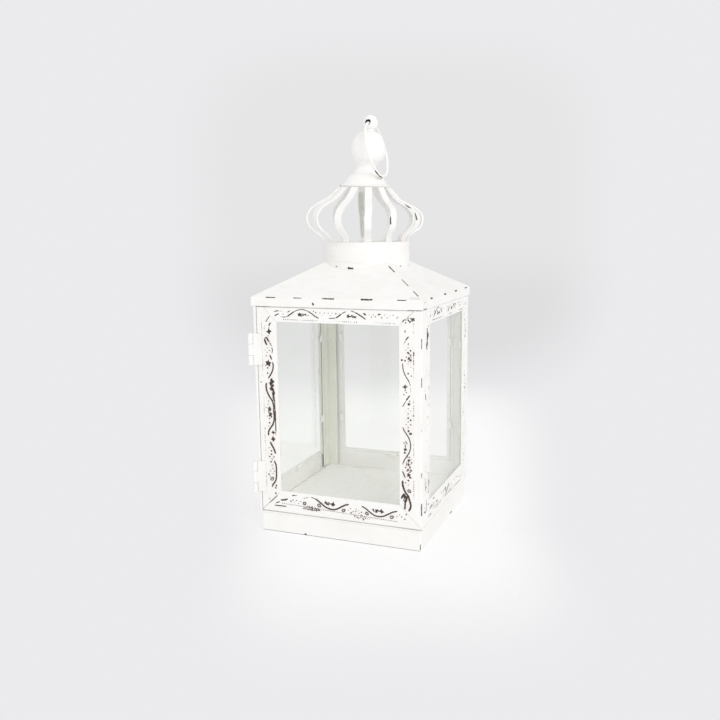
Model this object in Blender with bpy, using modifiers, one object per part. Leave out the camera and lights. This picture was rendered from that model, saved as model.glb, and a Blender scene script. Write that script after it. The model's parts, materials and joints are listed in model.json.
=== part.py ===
"""Square metal lantern with a glazed door, glazed walls, a ribbed crown and a hanging ring.

Metres, +Z up. The origin is the centre of the base's underside.
The door faces -Y and its hinges are at -X.
"""

import math

import bmesh
import bpy
from mathutils import Matrix, Vector

# Sheet metal and clearance
GAP = 0.0003
SHEET = 0.0008
FOLD_RADIUS = 0.0009
FOLD_STEPS = 3

# Base
TRAY_SETBACK = 0.0015
TRAY_HEIGHT = 0.0182
TRAY_EDGE_RADIUS = 0.0012
FLOOR_INSET = 0.0004

# Walls and door, measured over the outer faces
BODY_WIDTH = 0.160
BODY_TOP = 0.2126
WALL_DEPTH = 0.003
BOTTOM_RAIL_WIDTH = 0.0212
TOP_RAIL_WIDTH = 0.0135
WALL_STILE_WIDTH = 0.023
DOOR_STILE_WIDTH = 0.0202
DOOR_RUNNING_GAP = 0.0005

# Glass and the bent tabs that hold it
GLASS_THICKNESS = 0.002
GLASS_LAP = 0.004
TAB_LENGTH = 0.007
TAB_REACH = 0.0035
TAB_ROOT = 0.0004
STILE_TAB_PLACES = (0.22, 0.78)
RAIL_TAB_PLACES = (0.5,)

# Corner posts
POST_LEG = 0.0112
POST_SHEET = 0.0012

# Door catch
MAGNET_WIDTH = 0.007
MAGNET_HEIGHT = 0.014
MAGNET_DEPTH = 0.0045
KEEPER_THICKNESS = 0.0016
KEEPER_MARGIN = 0.0012
CATCH_HEIGHT = 0.120

# Hinges
HINGE_HEIGHT = 0.029
UPPER_HINGE_DROP = 0.0393
LOWER_HINGE_RISE = 0.0336
KNUCKLE_RADIUS = 0.0021
TOP_KNUCKLE_HEIGHT = 0.0095
BOTTOM_KNUCKLE_HEIGHT = 0.0088
PIN_RADIUS = 0.0010
PIN_CLEARANCE = 0.0002
PIN_PROUD = 0.0006
LEAF_THICKNESS = 0.0009
LEAF_REACH = 0.0108
KNUCKLE_STEPS = 16

# Roof
EAVE_OVERHANG = 0.0011
EAVE_HEIGHT = 0.0081
EAVE_SEAT = 0.0069
ROOF_SLOPE = 0.57
ROOF_VENT_WIDTH = 0.048

# Collar that carries the crown, cut at its foot to the slopes of the roof
COLLAR_RADIUS = 0.041
COLLAR_HEIGHT = 0.0241
COLLAR_WALL = 0.001
COLLAR_SOFT_EDGE = 0.00025

# Crown ribs
RIB_COUNT = 12
RIB_WIDTH = 0.0062
RIB_THICKNESS = 0.0015
RIB_TURN_DEG = -66.3
RIB_FOOT_DEPTH = 0.014
RIB_BULGE_RADIUS = 0.0553
RIB_BULGE_HEIGHT = 0.0230
RIB_WAIST_RADIUS = 0.0348
RIB_WAIST_HEIGHT = 0.0406
RIB_STEPS = 3
# Points of a rib on its way from the collar to the bulge, to the waist and to the cap,
# as shares of that way outwards and upwards
RIB_SWELL = ((0.02, 0.10), (0.42, 0.37), (0.78, 0.55), (0.96, 0.77))
RIB_SHOULDER = ((0.11, 0.31), (0.33, 0.56), (0.64, 0.77))
RIB_THROAT = ((0.45, 0.45),)
# Ribs bent by hand: all twist a little towards the cap, some stand aside at the bulge,
# and some have a lower waist
RIB_TWIST_DEG = 6.0
RIB_SWAY = {2: -0.0055, 11: 0.0020, 12: 0.0011}
RIB_DROOP = {1: 0.0008, 2: 0.0018, 3: 0.0018, 4: 0.0015, 5: 0.0010}
# Room between a rib's flat strip and the curved cap above it
RIB_CLEARANCE = 0.00055

# Cap over the rib tops, tilted towards the front right
CAP_RADIUS = 0.0242
CAP_HEIGHT = 0.0622
CAP_DROP = 0.0100
CAP_SEAT_RADIUS = 0.0128
CAP_SHEET = 0.0009
CAP_TILT_DEG = 3.5
CAP_TILT_TOWARDS_DEG = -35.0
# Points of the cap from its seat to its rim, as shares of that way outwards and downwards
CAP_BELL = ((0.30, 0.28), (0.44, 0.43), (0.54, 0.63), (0.72, 0.88))
CAP_STEPS = 3

# Finial: a pear-shaped bulb and a drilled ball, standing slightly askew towards +X
FINIAL_LEAN_DEG = 7.0
BULB_RADIUS = 0.0168
BULB_HEIGHT = 0.0388
BULB_TOP_RADIUS = 0.0045
BULB_FOOT_RADIUS = 0.0120
# Outline of the bulb from its top to its foot, as shares of its radius and its height
BULB_OUTLINE = (
    (0.565, 0.960),
    (0.805, 0.830),
    (0.945, 0.700),
    (1.000, 0.577),
    (0.975, 0.470),
    (0.865, 0.350),
    (0.655, 0.262),
    (0.548, 0.180),
    (0.575, 0.110),
)
BULB_STEPS = 3
BALL_RADIUS = 0.00705
BALL_STANDOFF = 0.00045
STEM_RADIUS = 0.0030
STEM_DEPTH = 0.0055
BOLT_RADIUS = 0.0020
BOLT_HEAD_RADIUS = 0.0042
BOLT_HEAD_HEIGHT = 0.0026
BOLT_DEPTH = 0.014

# Hanging ring
RING_RADIUS = 0.0251
RING_WIRE_RADIUS = 0.00125
RING_WIRE_STEPS = 12
RING_HOLE_RADIUS = 0.0024
# The search for the ring's rest starts where it hangs free, and goes in these steps
RING_FREE_DEG = 50.0
RING_REST_STEP_DEG = 0.02

# Facets of the round pieces
TURN_STEPS = 48
FINE_STEPS = 24

HALF = BODY_WIDTH / 2
INNER_HALF = HALF - WALL_DEPTH - GAP
FLOOR_TOP = TRAY_HEIGHT + GAP + SHEET
BODY_BOTTOM = FLOOR_TOP + GAP
OPENING_BOTTOM = BODY_BOTTOM + BOTTOM_RAIL_WIDTH
OPENING_TOP = BODY_TOP - TOP_RAIL_WIDTH
UPPER_HINGE_CENTRE = BODY_TOP - UPPER_HINGE_DROP
LOWER_HINGE_CENTRE = BODY_BOTTOM + LOWER_HINGE_RISE
EAVE_HALF = HALF + EAVE_OVERHANG
ROOF_RISE = (EAVE_HALF - ROOF_VENT_WIDTH / 2) * ROOF_SLOPE
ROOF_SEAM = GAP * math.hypot(1, ROOF_SLOPE)
ROOF_BOTTOM = BODY_TOP + GAP
EAVE_TOP = ROOF_BOTTOM + EAVE_HEIGHT
COLLAR_BOTTOM = EAVE_TOP + (EAVE_HALF - COLLAR_RADIUS) * ROOF_SLOPE + ROOF_SEAM
COLLAR_TOP = COLLAR_BOTTOM + COLLAR_HEIGHT
CAP_TOP = COLLAR_TOP + CAP_HEIGHT
BULB_SEAT = CAP_TOP + GAP
BALL_HEIGHT = BULB_HEIGHT + BALL_STANDOFF + BALL_RADIUS
HINGE_OFFSET = HALF + GAP + KNUCKLE_RADIUS
HINGE_AXIS = (-HINGE_OFFSET, -HINGE_OFFSET)

# Colours as linear red, green and blue
PAINT = (0.90, 0.89, 0.86)
GLASS_TINT = (0.86, 0.90, 0.87)
BARE_STEEL = (0.44, 0.42, 0.40)
MAGNET_BLACK = (0.07, 0.07, 0.07)


def clear_scene():
    for obj in list(bpy.data.objects):
        bpy.data.objects.remove(obj, do_unlink=True)


def new_collection(name):
    collection = bpy.data.collections.new(name)
    bpy.context.scene.collection.children.link(collection)
    return collection


def material(name, colour, roughness, metallic=0.0, alpha=1.0):
    mat = bpy.data.materials.new(name)
    mat.use_nodes = True
    shader = mat.node_tree.nodes["Principled BSDF"]
    shader.inputs["Base Color"].default_value = (*colour, 1.0)
    shader.inputs["Roughness"].default_value = roughness
    shader.inputs["Metallic"].default_value = metallic
    shader.inputs["Alpha"].default_value = alpha
    mat.diffuse_color = (*colour, alpha)
    return mat


def painted(name):
    return material(name, PAINT, roughness=0.55)


def add_object(name, mesh, mat, collection, parent=None):
    obj = bpy.data.objects.new(name, mesh)
    collection.objects.link(obj)
    if mat is not None and not mesh.materials:
        mesh.materials.append(mat)
    obj.parent = parent
    return obj


def mesh_from(bm, name):
    bmesh.ops.recalc_face_normals(bm, faces=bm.faces)
    mesh = bpy.data.meshes.new(name)
    bm.to_mesh(mesh)
    bm.free()
    return mesh


def add_empty(name, location, collection, parent=None, turn=(0.0, 0.0, 0.0)):
    empty = bpy.data.objects.new(name, None)
    collection.objects.link(empty)
    empty.parent = parent
    empty.location = location
    empty.rotation_euler = turn
    return empty


def add_box(bm, low, high):
    """Adds a box between two corners to a mesh under construction."""
    low = Vector(low)
    high = Vector(high)
    size = high - low
    place = Matrix.Translation((low + high) / 2) @ Matrix.Diagonal((*size, 1.0))
    bmesh.ops.create_cube(bm, size=1.0, matrix=place)


def box_mesh(name, low, high):
    bm = bmesh.new()
    add_box(bm, low, high)
    return mesh_from(bm, name)


def add_prism(bm, outline, axis, start, end):
    """Adds a closed outline, swept along an axis from start to end."""
    verts = []
    for a, b in outline:
        point = [a, b]
        point.insert(axis, start)
        verts.append(bm.verts.new(point))
    face = bm.faces.new(verts)
    swept = bmesh.ops.extrude_face_region(bm, geom=[face])
    step = Vector((0, 0, 0))
    step[axis] = end - start
    moved = [item for item in swept["geom"] if isinstance(item, bmesh.types.BMVert)]
    bmesh.ops.translate(bm, verts=moved, vec=step)


def slice_off(bm, point, normal):
    """Removes what lies beyond a plane, on the side that its normal points to, and closes the cut."""
    cut = bmesh.ops.bisect_plane(
        bm,
        geom=bm.verts[:] + bm.edges[:] + bm.faces[:],
        dist=1e-7,
        plane_co=point,
        plane_no=normal,
        clear_outer=True,
    )
    edges = [item for item in cut["geom_cut"] if isinstance(item, bmesh.types.BMEdge)]
    if edges:
        bmesh.ops.contextual_create(bm, geom=edges)


def arc(centre, radius, start_deg, end_deg, steps):
    points = []
    for i in range(steps + 1):
        angle = math.radians(start_deg + (end_deg - start_deg) * i / steps)
        points.append((centre[0] + radius * math.cos(angle), centre[1] + radius * math.sin(angle)))
    return points


def smooth_path(points, steps):
    """Points along a Catmull-Rom curve through the given points."""
    ends = [tuple(2 * a - b for a, b in zip(points[0], points[1]))]
    ends.append(tuple(2 * a - b for a, b in zip(points[-1], points[-2])))
    full = [ends[0]] + list(points) + [ends[1]]
    path = []
    for i in range(1, len(full) - 2):
        p0, p1, p2, p3 = (Vector(p) for p in full[i - 1:i + 3])
        for k in range(steps):
            t = k / steps
            cubic = 2 * p1 + (p2 - p0) * t + (2 * p0 - 5 * p1 + 4 * p2 - p3) * t * t
            path.append((cubic + (3 * p1 - p0 - 3 * p2 + p3) * t ** 3) / 2)
    path.append(Vector(full[-2]))
    return path


def turned(name, profile, mat, collection, parent=None, closed=False, steps=TURN_STEPS):
    """A solid turned about local Z from a profile of (radius, height) that runs down its outer side."""
    bm = bmesh.new()
    verts = [bm.verts.new((radius, 0.0, height)) for radius, height in profile]
    for a, b in zip(verts, verts[1:]):
        bm.edges.new((a, b))
    if closed:
        bm.edges.new((verts[-1], verts[0]))
    mesh = bpy.data.meshes.new(name)
    bm.to_mesh(mesh)
    bm.free()
    obj = add_object(name, mesh, mat, collection, parent)
    screw = obj.modifiers.new("Turn", "SCREW")
    screw.axis = "Z"
    screw.steps = steps
    screw.render_steps = steps
    screw.use_merge_vertices = True
    screw.merge_threshold = 0.00001
    screw.use_smooth_shade = True
    return obj


def boolean(obj, tool, operation):
    mod = obj.modifiers.new(operation.title(), "BOOLEAN")
    mod.operation = operation
    mod.solver = "EXACT"
    mod.object = tool


def add_tool(name, mesh, tools, parent=None):
    """A cutting or joining shape, which is not a piece of the lantern."""
    tool = add_object(name, mesh, None, tools, parent)
    tool.hide_render = True
    tool.display_type = "WIRE"
    return tool


def cylinder_mesh(name, radius, low, high, steps):
    bm = bmesh.new()
    place = Matrix.Translation((0, 0, (low + high) / 2))
    bmesh.ops.create_cone(
        bm,
        cap_ends=True,
        segments=steps,
        radius1=radius,
        radius2=radius,
        depth=high - low,
        matrix=place,
    )
    return mesh_from(bm, name)


def add_bevel(obj, width, segments):
    bevel = obj.modifiers.new("Edges", "BEVEL")
    bevel.width = width
    bevel.segments = segments
    bevel.limit_method = "ANGLE"


def make_base(parts):
    """A folded tray with a closed bottom, and the floor plate that lies on its rim."""
    half = HALF - TRAY_SETBACK
    bm = bmesh.new()
    add_box(bm, (-half, -half, 0), (half, half, TRAY_HEIGHT))
    top = [face for face in bm.faces if face.normal.z > 0.5]
    bmesh.ops.delete(bm, geom=top, context="FACES")
    upright = []
    for edge in bm.edges:
        low, high = sorted(vert.co.z for vert in edge.verts)
        if high > low:
            upright.append(edge)
    bmesh.ops.bevel(
        bm,
        geom=upright,
        offset=TRAY_EDGE_RADIUS,
        segments=FOLD_STEPS,
        profile=0.5,
        affect="EDGES",
    )
    tray = add_object("base_tray", mesh_from(bm, "base_tray"), painted("base_tray_paint"), parts)
    shell = tray.modifiers.new("Sheet", "SOLIDIFY")
    shell.thickness = SHEET
    shell.offset = -1.0
    shell.use_even_offset = True

    edge = HALF - FLOOR_INSET
    bottom = TRAY_HEIGHT + GAP
    mesh = box_mesh("floor_plate", (-edge, -edge, bottom), (edge, edge, FLOOR_TOP))
    add_object("floor_plate", mesh, painted("floor_plate_paint"), parts)


def strip_section(width):
    """Section of a frame strip from its outer fold to the opening, as (across, depth)."""
    fold = arc((FOLD_RADIUS, FOLD_RADIUS), FOLD_RADIUS, 270, 180, FOLD_STEPS)
    section = [(width, 0.0)] + fold
    section += [(0.0, WALL_DEPTH), (SHEET, WALL_DEPTH), (SHEET, SHEET), (width, SHEET)]
    return section


def tab_section(width):
    """Section of a bent tab that grows from a strip's back and holds the edge of the glass."""
    root = width - GLASS_LAP - GAP
    over = SHEET + GAP + GLASS_THICKNESS + GAP
    tip = root + TAB_REACH
    low = SHEET - TAB_ROOT
    return [
        (root - SHEET, low),
        (root, low),
        (root, over),
        (tip, over),
        (tip, over + SHEET),
        (root - SHEET, over + SHEET),
    ]


def frame_strip(name, side, edges, opening, mat, collections, parent):
    """One mitred strip of a wall frame. side is left, right, bottom or top, seen from outside."""
    parts, tools = collections
    x0, x1, z0, z1 = edges
    u0, u1, w0, w1 = opening
    mitre_gap = GAP / math.sqrt(2)
    widths = {"left": u0 - x0, "right": x1 - u1, "bottom": w0 - z0, "top": z1 - w1}
    width = widths[side]
    upright = side in ("left", "right")
    origin = {"left": x0, "right": x1, "bottom": z0, "top": z1}[side]
    sign = 1 if side in ("left", "bottom") else -1

    def placed(section):
        return [(origin + sign * across, -HALF + depth) for across, depth in section]

    def sweep(bm, section, start, end):
        if upright:
            add_prism(bm, placed(section), 2, start, end)
        else:
            add_prism(bm, [(depth, across) for across, depth in placed(section)], 0, start, end)

    bm = bmesh.new()
    start, end = (z0, z1) if upright else (x0, x1)
    sweep(bm, strip_section(width), start, end)
    for corner_x, out_x in ((u0, -1), (u1, 1)):
        for corner_z, out_z in ((w0, -1), (w1, 1)):
            facing = out_x if upright else out_z
            if facing != -sign:
                continue
            if upright:
                normal = Vector((-out_x, 0, out_z))
                point = Vector((corner_x, 0, corner_z - out_z * mitre_gap))
            else:
                normal = Vector((out_x, 0, -out_z))
                point = Vector((corner_x - out_x * mitre_gap, 0, corner_z))
            slice_off(bm, point, normal.normalized())
    strip = add_object(name, mesh_from(bm, name), mat, parts, parent)

    span_low, span_high = (w0, w1) if upright else (u0, u1)
    places = STILE_TAB_PLACES if upright else RAIL_TAB_PLACES
    bm = bmesh.new()
    for place in places:
        middle = span_low + place * (span_high - span_low)
        sweep(bm, tab_section(width), middle - TAB_LENGTH / 2, middle + TAB_LENGTH / 2)
    tabs = add_tool(name + "_tabs", mesh_from(bm, name + "_tabs"), tools, parent)
    boolean(strip, tabs, "UNION")


def framed_wall(prefix, edges, opening, collections, parent):
    """Four mitred strips and the pane that they hold, in the wall's own frame."""
    parts = collections[0]
    for side in ("left", "right", "bottom", "top"):
        kind = "stile" if side in ("left", "right") else "rail"
        name = f"{prefix}_{side}_{kind}"
        frame_strip(name, side, edges, opening, painted(name + "_paint"), collections, parent)
    u0, u1, w0, w1 = opening
    front = -HALF + SHEET + GAP
    low = (u0 - GLASS_LAP, front, w0 - GLASS_LAP)
    high = (u1 + GLASS_LAP, front + GLASS_THICKNESS, w1 + GLASS_LAP)
    name = prefix + "_glass"
    glass = material(name, GLASS_TINT, roughness=0.03, alpha=0.25)
    add_object(name, box_mesh(name, low, high), glass, parts, parent)


def make_walls(collections):
    """Right, back and left walls, each in a frame turned to face outwards."""
    parts = collections[0]
    half_open = HALF - WALL_STILE_WIDTH
    opening = (-half_open, half_open, OPENING_BOTTOM, OPENING_TOP)
    spans = {
        "right_wall": (90, -INNER_HALF, HALF),
        "back_wall": (180, -INNER_HALF, INNER_HALF),
        "left_wall": (-90, -HALF, HALF),
    }
    for prefix, (turn_deg, low, high) in spans.items():
        frame = add_empty(prefix + "_frame", (0, 0, 0), parts, turn=(0, 0, math.radians(turn_deg)))
        framed_wall(prefix, (low, high, BODY_BOTTOM, BODY_TOP), opening, collections, frame)


def make_posts(collections):
    """Folded corner posts inside the walls. The front right one has a window for the magnet."""
    parts, tools = collections
    outer = INNER_HALF
    inner = outer - POST_SHEET
    tip = outer - POST_LEG
    outline = [
        (outer, outer),
        (tip, outer),
        (tip, inner),
        (inner, inner),
        (inner, tip),
        (outer, tip),
    ]
    turns = {"back_right": 0, "back_left": 90, "front_left": 180, "front_right": 270}
    for place, turn_deg in turns.items():
        name = place + "_post"
        bm = bmesh.new()
        add_prism(bm, outline, 2, BODY_BOTTOM, BODY_TOP)
        post = add_object(name, mesh_from(bm, name), painted(name + "_paint"), parts)
        post.rotation_euler = (0, 0, math.radians(turn_deg))
        if place == "front_right":
            middle = catch_middle()
            half_w = MAGNET_WIDTH / 2 + GAP
            half_h = MAGNET_HEIGHT / 2 + GAP
            low = (middle - half_w, -outer - SHEET, CATCH_HEIGHT - half_h)
            high = (middle + half_w, -inner + SHEET, CATCH_HEIGHT + half_h)
            window = add_tool("magnet_window", box_mesh("magnet_window", low, high), tools)
            boolean(post, window, "DIFFERENCE")


def catch_middle():
    """Distance of the door catch from the middle of the body, along the front."""
    return INNER_HALF - POST_LEG / 2


def make_catch(parts, door_frame):
    """A magnet let into the front right post, and the keeper plate on the door's back."""
    middle = catch_middle()
    half_w = MAGNET_WIDTH / 2
    half_h = MAGNET_HEIGHT / 2
    front = -HALF + WALL_DEPTH
    low = (middle - half_w, front, CATCH_HEIGHT - half_h)
    high = (middle + half_w, front + MAGNET_DEPTH, CATCH_HEIGHT + half_h)
    black = material("catch_magnet_black", MAGNET_BLACK, roughness=0.6)
    magnet = add_object("catch_magnet", box_mesh("catch_magnet", low, high), black, parts)
    add_bevel(magnet, GAP, 1)

    back = front - GAP
    half_w += KEEPER_MARGIN
    half_h += KEEPER_MARGIN
    low = (middle - half_w, back - KEEPER_THICKNESS, CATCH_HEIGHT - half_h)
    high = (middle + half_w, back, CATCH_HEIGHT + half_h)
    shift = Vector((HINGE_AXIS[0], HINGE_AXIS[1], 0))
    mesh = box_mesh("catch_keeper", Vector(low) - shift, Vector(high) - shift)
    steel = material("catch_keeper_steel", BARE_STEEL, roughness=0.4, metallic=1.0)
    add_object("catch_keeper", mesh, steel, parts, door_frame)


def make_door(collections, door_frame):
    """The glazed door, whose frame has its origin on the hinge axis."""
    parts = collections[0]
    local = add_empty("door_shape_frame", (-HINGE_AXIS[0], -HINGE_AXIS[1], 0), parts, door_frame)
    low, high = -INNER_HALF, HALF
    edges = (low, high, BODY_BOTTOM + DOOR_RUNNING_GAP, BODY_TOP - DOOR_RUNNING_GAP)
    opening = (low + DOOR_STILE_WIDTH, high - DOOR_STILE_WIDTH, OPENING_BOTTOM, OPENING_TOP)
    framed_wall("door", edges, opening, collections, local)


def knuckle_outline():
    """A round outline with flats, not corners, where the leaf leaves it."""
    half_step = 180 / KNUCKLE_STEPS
    return arc((0, 0), KNUCKLE_RADIUS, half_step, 360 - half_step, KNUCKLE_STEPS - 1)


def hinge_leaf(name, centre, fixed, collections, parent):
    """One leaf with its knuckles: the fixed one on the left wall, the moving one on the door's front."""
    parts, tools = collections
    low = centre - HINGE_HEIGHT / 2
    high = centre + HINGE_HEIGHT / 2
    split_low = low + BOTTOM_KNUCKLE_HEIGHT
    split_high = high - TOP_KNUCKLE_HEIGHT
    half_gap = GAP / 2
    if fixed:
        barrels = [(low, split_low - half_gap), (split_high + half_gap, high)]
        notches = [(split_low - half_gap, split_high + half_gap)]
    else:
        barrels = [(split_low + half_gap, split_high - half_gap)]
        notches = [
            (low - GAP, split_low + half_gap),
            (split_high - half_gap, high + GAP),
        ]

    near = KNUCKLE_RADIUS - LEAF_THICKNESS
    bm = bmesh.new()
    if fixed:
        add_box(bm, (near, 0, low), (KNUCKLE_RADIUS, LEAF_REACH, high))
    else:
        add_box(bm, (0, near, low), (LEAF_REACH, KNUCKLE_RADIUS, high))
    leaf = add_object(name, mesh_from(bm, name), painted(name + "_paint"), parts, parent)

    bm = bmesh.new()
    reach = KNUCKLE_RADIUS + GAP
    for notch_low, notch_high in notches:
        add_box(bm, (-reach, -reach, notch_low), (reach, reach, notch_high))
    notch = add_tool(name + "_notch", mesh_from(bm, name + "_notch"), tools, parent)
    boolean(leaf, notch, "DIFFERENCE")

    bm = bmesh.new()
    for barrel_low, barrel_high in barrels:
        add_prism(bm, knuckle_outline(), 2, barrel_low, barrel_high)
    barrel = add_tool(name + "_barrel", mesh_from(bm, name + "_barrel"), tools, parent)
    boolean(leaf, barrel, "UNION")

    radius = PIN_RADIUS + PIN_CLEARANCE
    past = KNUCKLE_RADIUS
    mesh = cylinder_mesh(name + "_bore", radius, low - past, high + past, KNUCKLE_STEPS)
    bore = add_tool(name + "_bore", mesh, tools, parent)
    boolean(leaf, bore, "DIFFERENCE")


def make_hinges(collections, door_frame):
    parts = collections[0]
    fixed_frame = add_empty("hinge_frame", (*HINGE_AXIS, 0), parts)
    for place, centre in (("upper", UPPER_HINGE_CENTRE), ("lower", LOWER_HINGE_CENTRE)):
        hinge_leaf(f"{place}_hinge_fixed_leaf", centre, True, collections, fixed_frame)
        hinge_leaf(f"{place}_hinge_door_leaf", centre, False, collections, door_frame)
        half = HINGE_HEIGHT / 2 + PIN_PROUD
        name = f"{place}_hinge_pin"
        mesh = cylinder_mesh(name, PIN_RADIUS, centre - half, centre + half, KNUCKLE_STEPS)
        add_object(name, mesh, painted(name + "_paint"), parts, fixed_frame)


def make_roof(parts):
    """One folded shell: lip, eave band and four slopes up to a square vent under the collar."""
    bm = bmesh.new()
    middle = EAVE_TOP + ROOF_RISE / 2
    place = Matrix.Translation((0, 0, middle)) @ Matrix.Rotation(math.pi / 4, 4, "Z")
    bmesh.ops.create_cone(
        bm,
        cap_ends=False,
        segments=4,
        radius1=EAVE_HALF * math.sqrt(2),
        radius2=ROOF_VENT_WIDTH / math.sqrt(2),
        depth=ROOF_RISE,
        matrix=place,
    )
    rim = [edge for edge in bm.edges if all(v.co.z < middle for v in edge.verts)]
    band = bmesh.ops.extrude_edge_only(bm, edges=rim)["geom"]
    band_verts = [item for item in band if isinstance(item, bmesh.types.BMVert)]
    bmesh.ops.translate(bm, verts=band_verts, vec=(0, 0, -EAVE_HEIGHT))
    band_edges = [item for item in band if isinstance(item, bmesh.types.BMEdge)]
    lip = bmesh.ops.extrude_edge_only(bm, edges=band_edges)["geom"]
    lip_verts = [item for item in lip if isinstance(item, bmesh.types.BMVert)]
    share = (HALF - EAVE_SEAT) / EAVE_HALF
    bmesh.ops.scale(bm, verts=lip_verts, vec=(share, share, 1))
    roof = add_object("roof", mesh_from(bm, "roof"), painted("roof_paint"), parts)
    shell = roof.modifiers.new("Sheet", "SOLIDIFY")
    shell.thickness = SHEET
    shell.offset = -1.0
    shell.use_even_offset = True


def make_collar(collections):
    """A round band whose foot is cut to the roof's slopes."""
    parts, tools = collections
    outer = COLLAR_RADIUS
    inner = outer - COLLAR_WALL
    edge = COLLAR_SOFT_EDGE
    profile = [
        (outer - edge, COLLAR_TOP),
        (outer, COLLAR_TOP - edge),
        (outer, COLLAR_BOTTOM - COLLAR_WALL),
        (inner, COLLAR_BOTTOM - COLLAR_WALL),
        (inner, COLLAR_TOP - edge),
        (inner + edge, COLLAR_TOP),
    ]
    paint = painted("collar_paint")
    collar = turned("collar", profile, paint, parts, closed=True, steps=2 * TURN_STEPS)
    bm = bmesh.new()
    rise = EAVE_HALF * ROOF_SLOPE
    place = Matrix.Translation((0, 0, EAVE_TOP + ROOF_SEAM + rise / 2))
    bmesh.ops.create_cone(
        bm,
        cap_ends=True,
        segments=4,
        radius1=EAVE_HALF * math.sqrt(2),
        radius2=0.0,
        depth=rise,
        matrix=place @ Matrix.Rotation(math.pi / 4, 4, "Z"),
    )
    slopes = add_tool("collar_foot_cut", mesh_from(bm, "collar_foot_cut"), tools)
    boolean(collar, slopes, "DIFFERENCE")


def crown_lean(share):
    """The turn by which the crown leans at its cap, for a share of it lower down."""
    towards = Matrix.Rotation(math.radians(CAP_TILT_TOWARDS_DEG), 4, "Z")
    tilt = Matrix.Rotation(math.radians(CAP_TILT_DEG) * share, 4, "Y")
    pivot = Matrix.Translation((0, 0, CAP_TOP))
    return pivot @ towards @ tilt @ towards.inverted() @ pivot.inverted()


def cap_bell():
    """The cap's outer face as (radius, height) from its seat to its rim, before it tilts."""
    reach = CAP_RADIUS - CAP_SEAT_RADIUS
    points = [(0.0, 0.0)] + list(CAP_BELL) + [(1.0, 1.0)]
    placed = [(CAP_SEAT_RADIUS + out * reach, CAP_TOP - down * CAP_DROP) for out, down in points]
    return smooth_path(placed, CAP_STEPS)


def inset(path, depth):
    """A path moved sideways by a depth, to its right as it runs."""
    moved = []
    for i, point in enumerate(path):
        along = path[min(i + 1, len(path) - 1)] - path[max(i - 1, 0)]
        moved.append(point + Vector((along.y, -along.x)).normalized() * depth)
    return moved


def rib_path(droop):
    """Middle line of a rib as (radius, height): straight foot, bulge, waist and tip under the cap."""
    half = RIB_THICKNESS / 2
    foot = COLLAR_RADIUS - COLLAR_WALL - GAP - half
    bulge = (RIB_BULGE_RADIUS - half, COLLAR_TOP + RIB_BULGE_HEIGHT)
    waist = (RIB_WAIST_RADIUS - half, COLLAR_TOP + RIB_WAIST_HEIGHT - droop)
    under = inset(cap_bell(), CAP_SHEET + RIB_CLEARANCE + half)
    tip = [tuple(point) for point in reversed(under[2 * CAP_STEPS::CAP_STEPS])]

    def between(a, b, shares):
        return [(a[0] + out * (b[0] - a[0]), a[1] + up * (b[1] - a[1])) for out, up in shares]

    start = (foot, COLLAR_TOP)
    points = [(foot, COLLAR_TOP - RIB_FOOT_DEPTH), (foot, COLLAR_TOP - RIB_FOOT_DEPTH / 3)]
    points += between(start, bulge, RIB_SWELL) + [bulge]
    points += between(bulge, waist, RIB_SHOULDER) + [waist]
    points += between(waist, tip[0], RIB_THROAT) + tip
    return smooth_path(points, RIB_STEPS)


def rib_mesh(name, turn_deg, sway, droop):
    """The middle surface of a rib, with its sway at the bulge, its twist and the crown's lean."""
    path = rib_path(droop)
    tip_height = path[-1][1]
    bulge_height = COLLAR_TOP + RIB_BULGE_HEIGHT
    bm = bmesh.new()
    rows = []
    for radius, height in path:
        aside = min(max((height - COLLAR_TOP) / (RIB_WAIST_HEIGHT - droop), 0.0), 1.0)
        shift = sway * math.sin(math.pi * aside)
        above = max((height - bulge_height) / (tip_height - bulge_height), 0.0)
        turn = math.radians(turn_deg + RIB_TWIST_DEG * above)
        place = crown_lean(aside) @ Matrix.Rotation(turn, 4, "Z")
        row = []
        for across in (shift - RIB_WIDTH / 2, shift + RIB_WIDTH / 2):
            row.append(bm.verts.new(place @ Vector((radius, across, height))))
        rows.append(row)
    for below, over in zip(rows, rows[1:]):
        bm.faces.new((below[0], below[1], over[1], over[0]))
    return mesh_from(bm, name)


def make_ribs(parts):
    paint = painted("crown_rib_paint")
    for number in range(1, RIB_COUNT + 1):
        name = f"crown_rib_{number:02d}"
        turn_deg = RIB_TURN_DEG + 360 * (number - 1) / RIB_COUNT
        mesh = rib_mesh(name, turn_deg, RIB_SWAY.get(number, 0.0), RIB_DROOP.get(number, 0.0))
        rib = add_object(name, mesh, paint, parts)
        strip = rib.modifiers.new("Strip", "SOLIDIFY")
        strip.thickness = RIB_THICKNESS
        strip.offset = 0.0
        strip.use_even_offset = True


def make_cap(parts, frame):
    """A thin turned bell over the rib tops, with a flat seat for the bulb and a hole for its bolt."""
    hole = BOLT_RADIUS + lean_shift(CAP_SHEET + BOLT_HEAD_HEIGHT) + GAP
    outer = cap_bell()
    inner = inset(outer, CAP_SHEET)
    inner[0] = Vector((inner[0].x, CAP_TOP - CAP_SHEET))
    profile = [(hole, 0.0)]
    profile += [(point.x, point.y - CAP_TOP) for point in outer + inner[::-1]]
    profile += [(hole, -CAP_SHEET)]
    turned("crown_cap", profile, painted("crown_cap_paint"), parts, frame, closed=True)


def lean_shift(height):
    """Sideways travel over a height of an axis that leans with the finial."""
    return height * math.tan(math.radians(FINIAL_LEAN_DEG))


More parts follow.
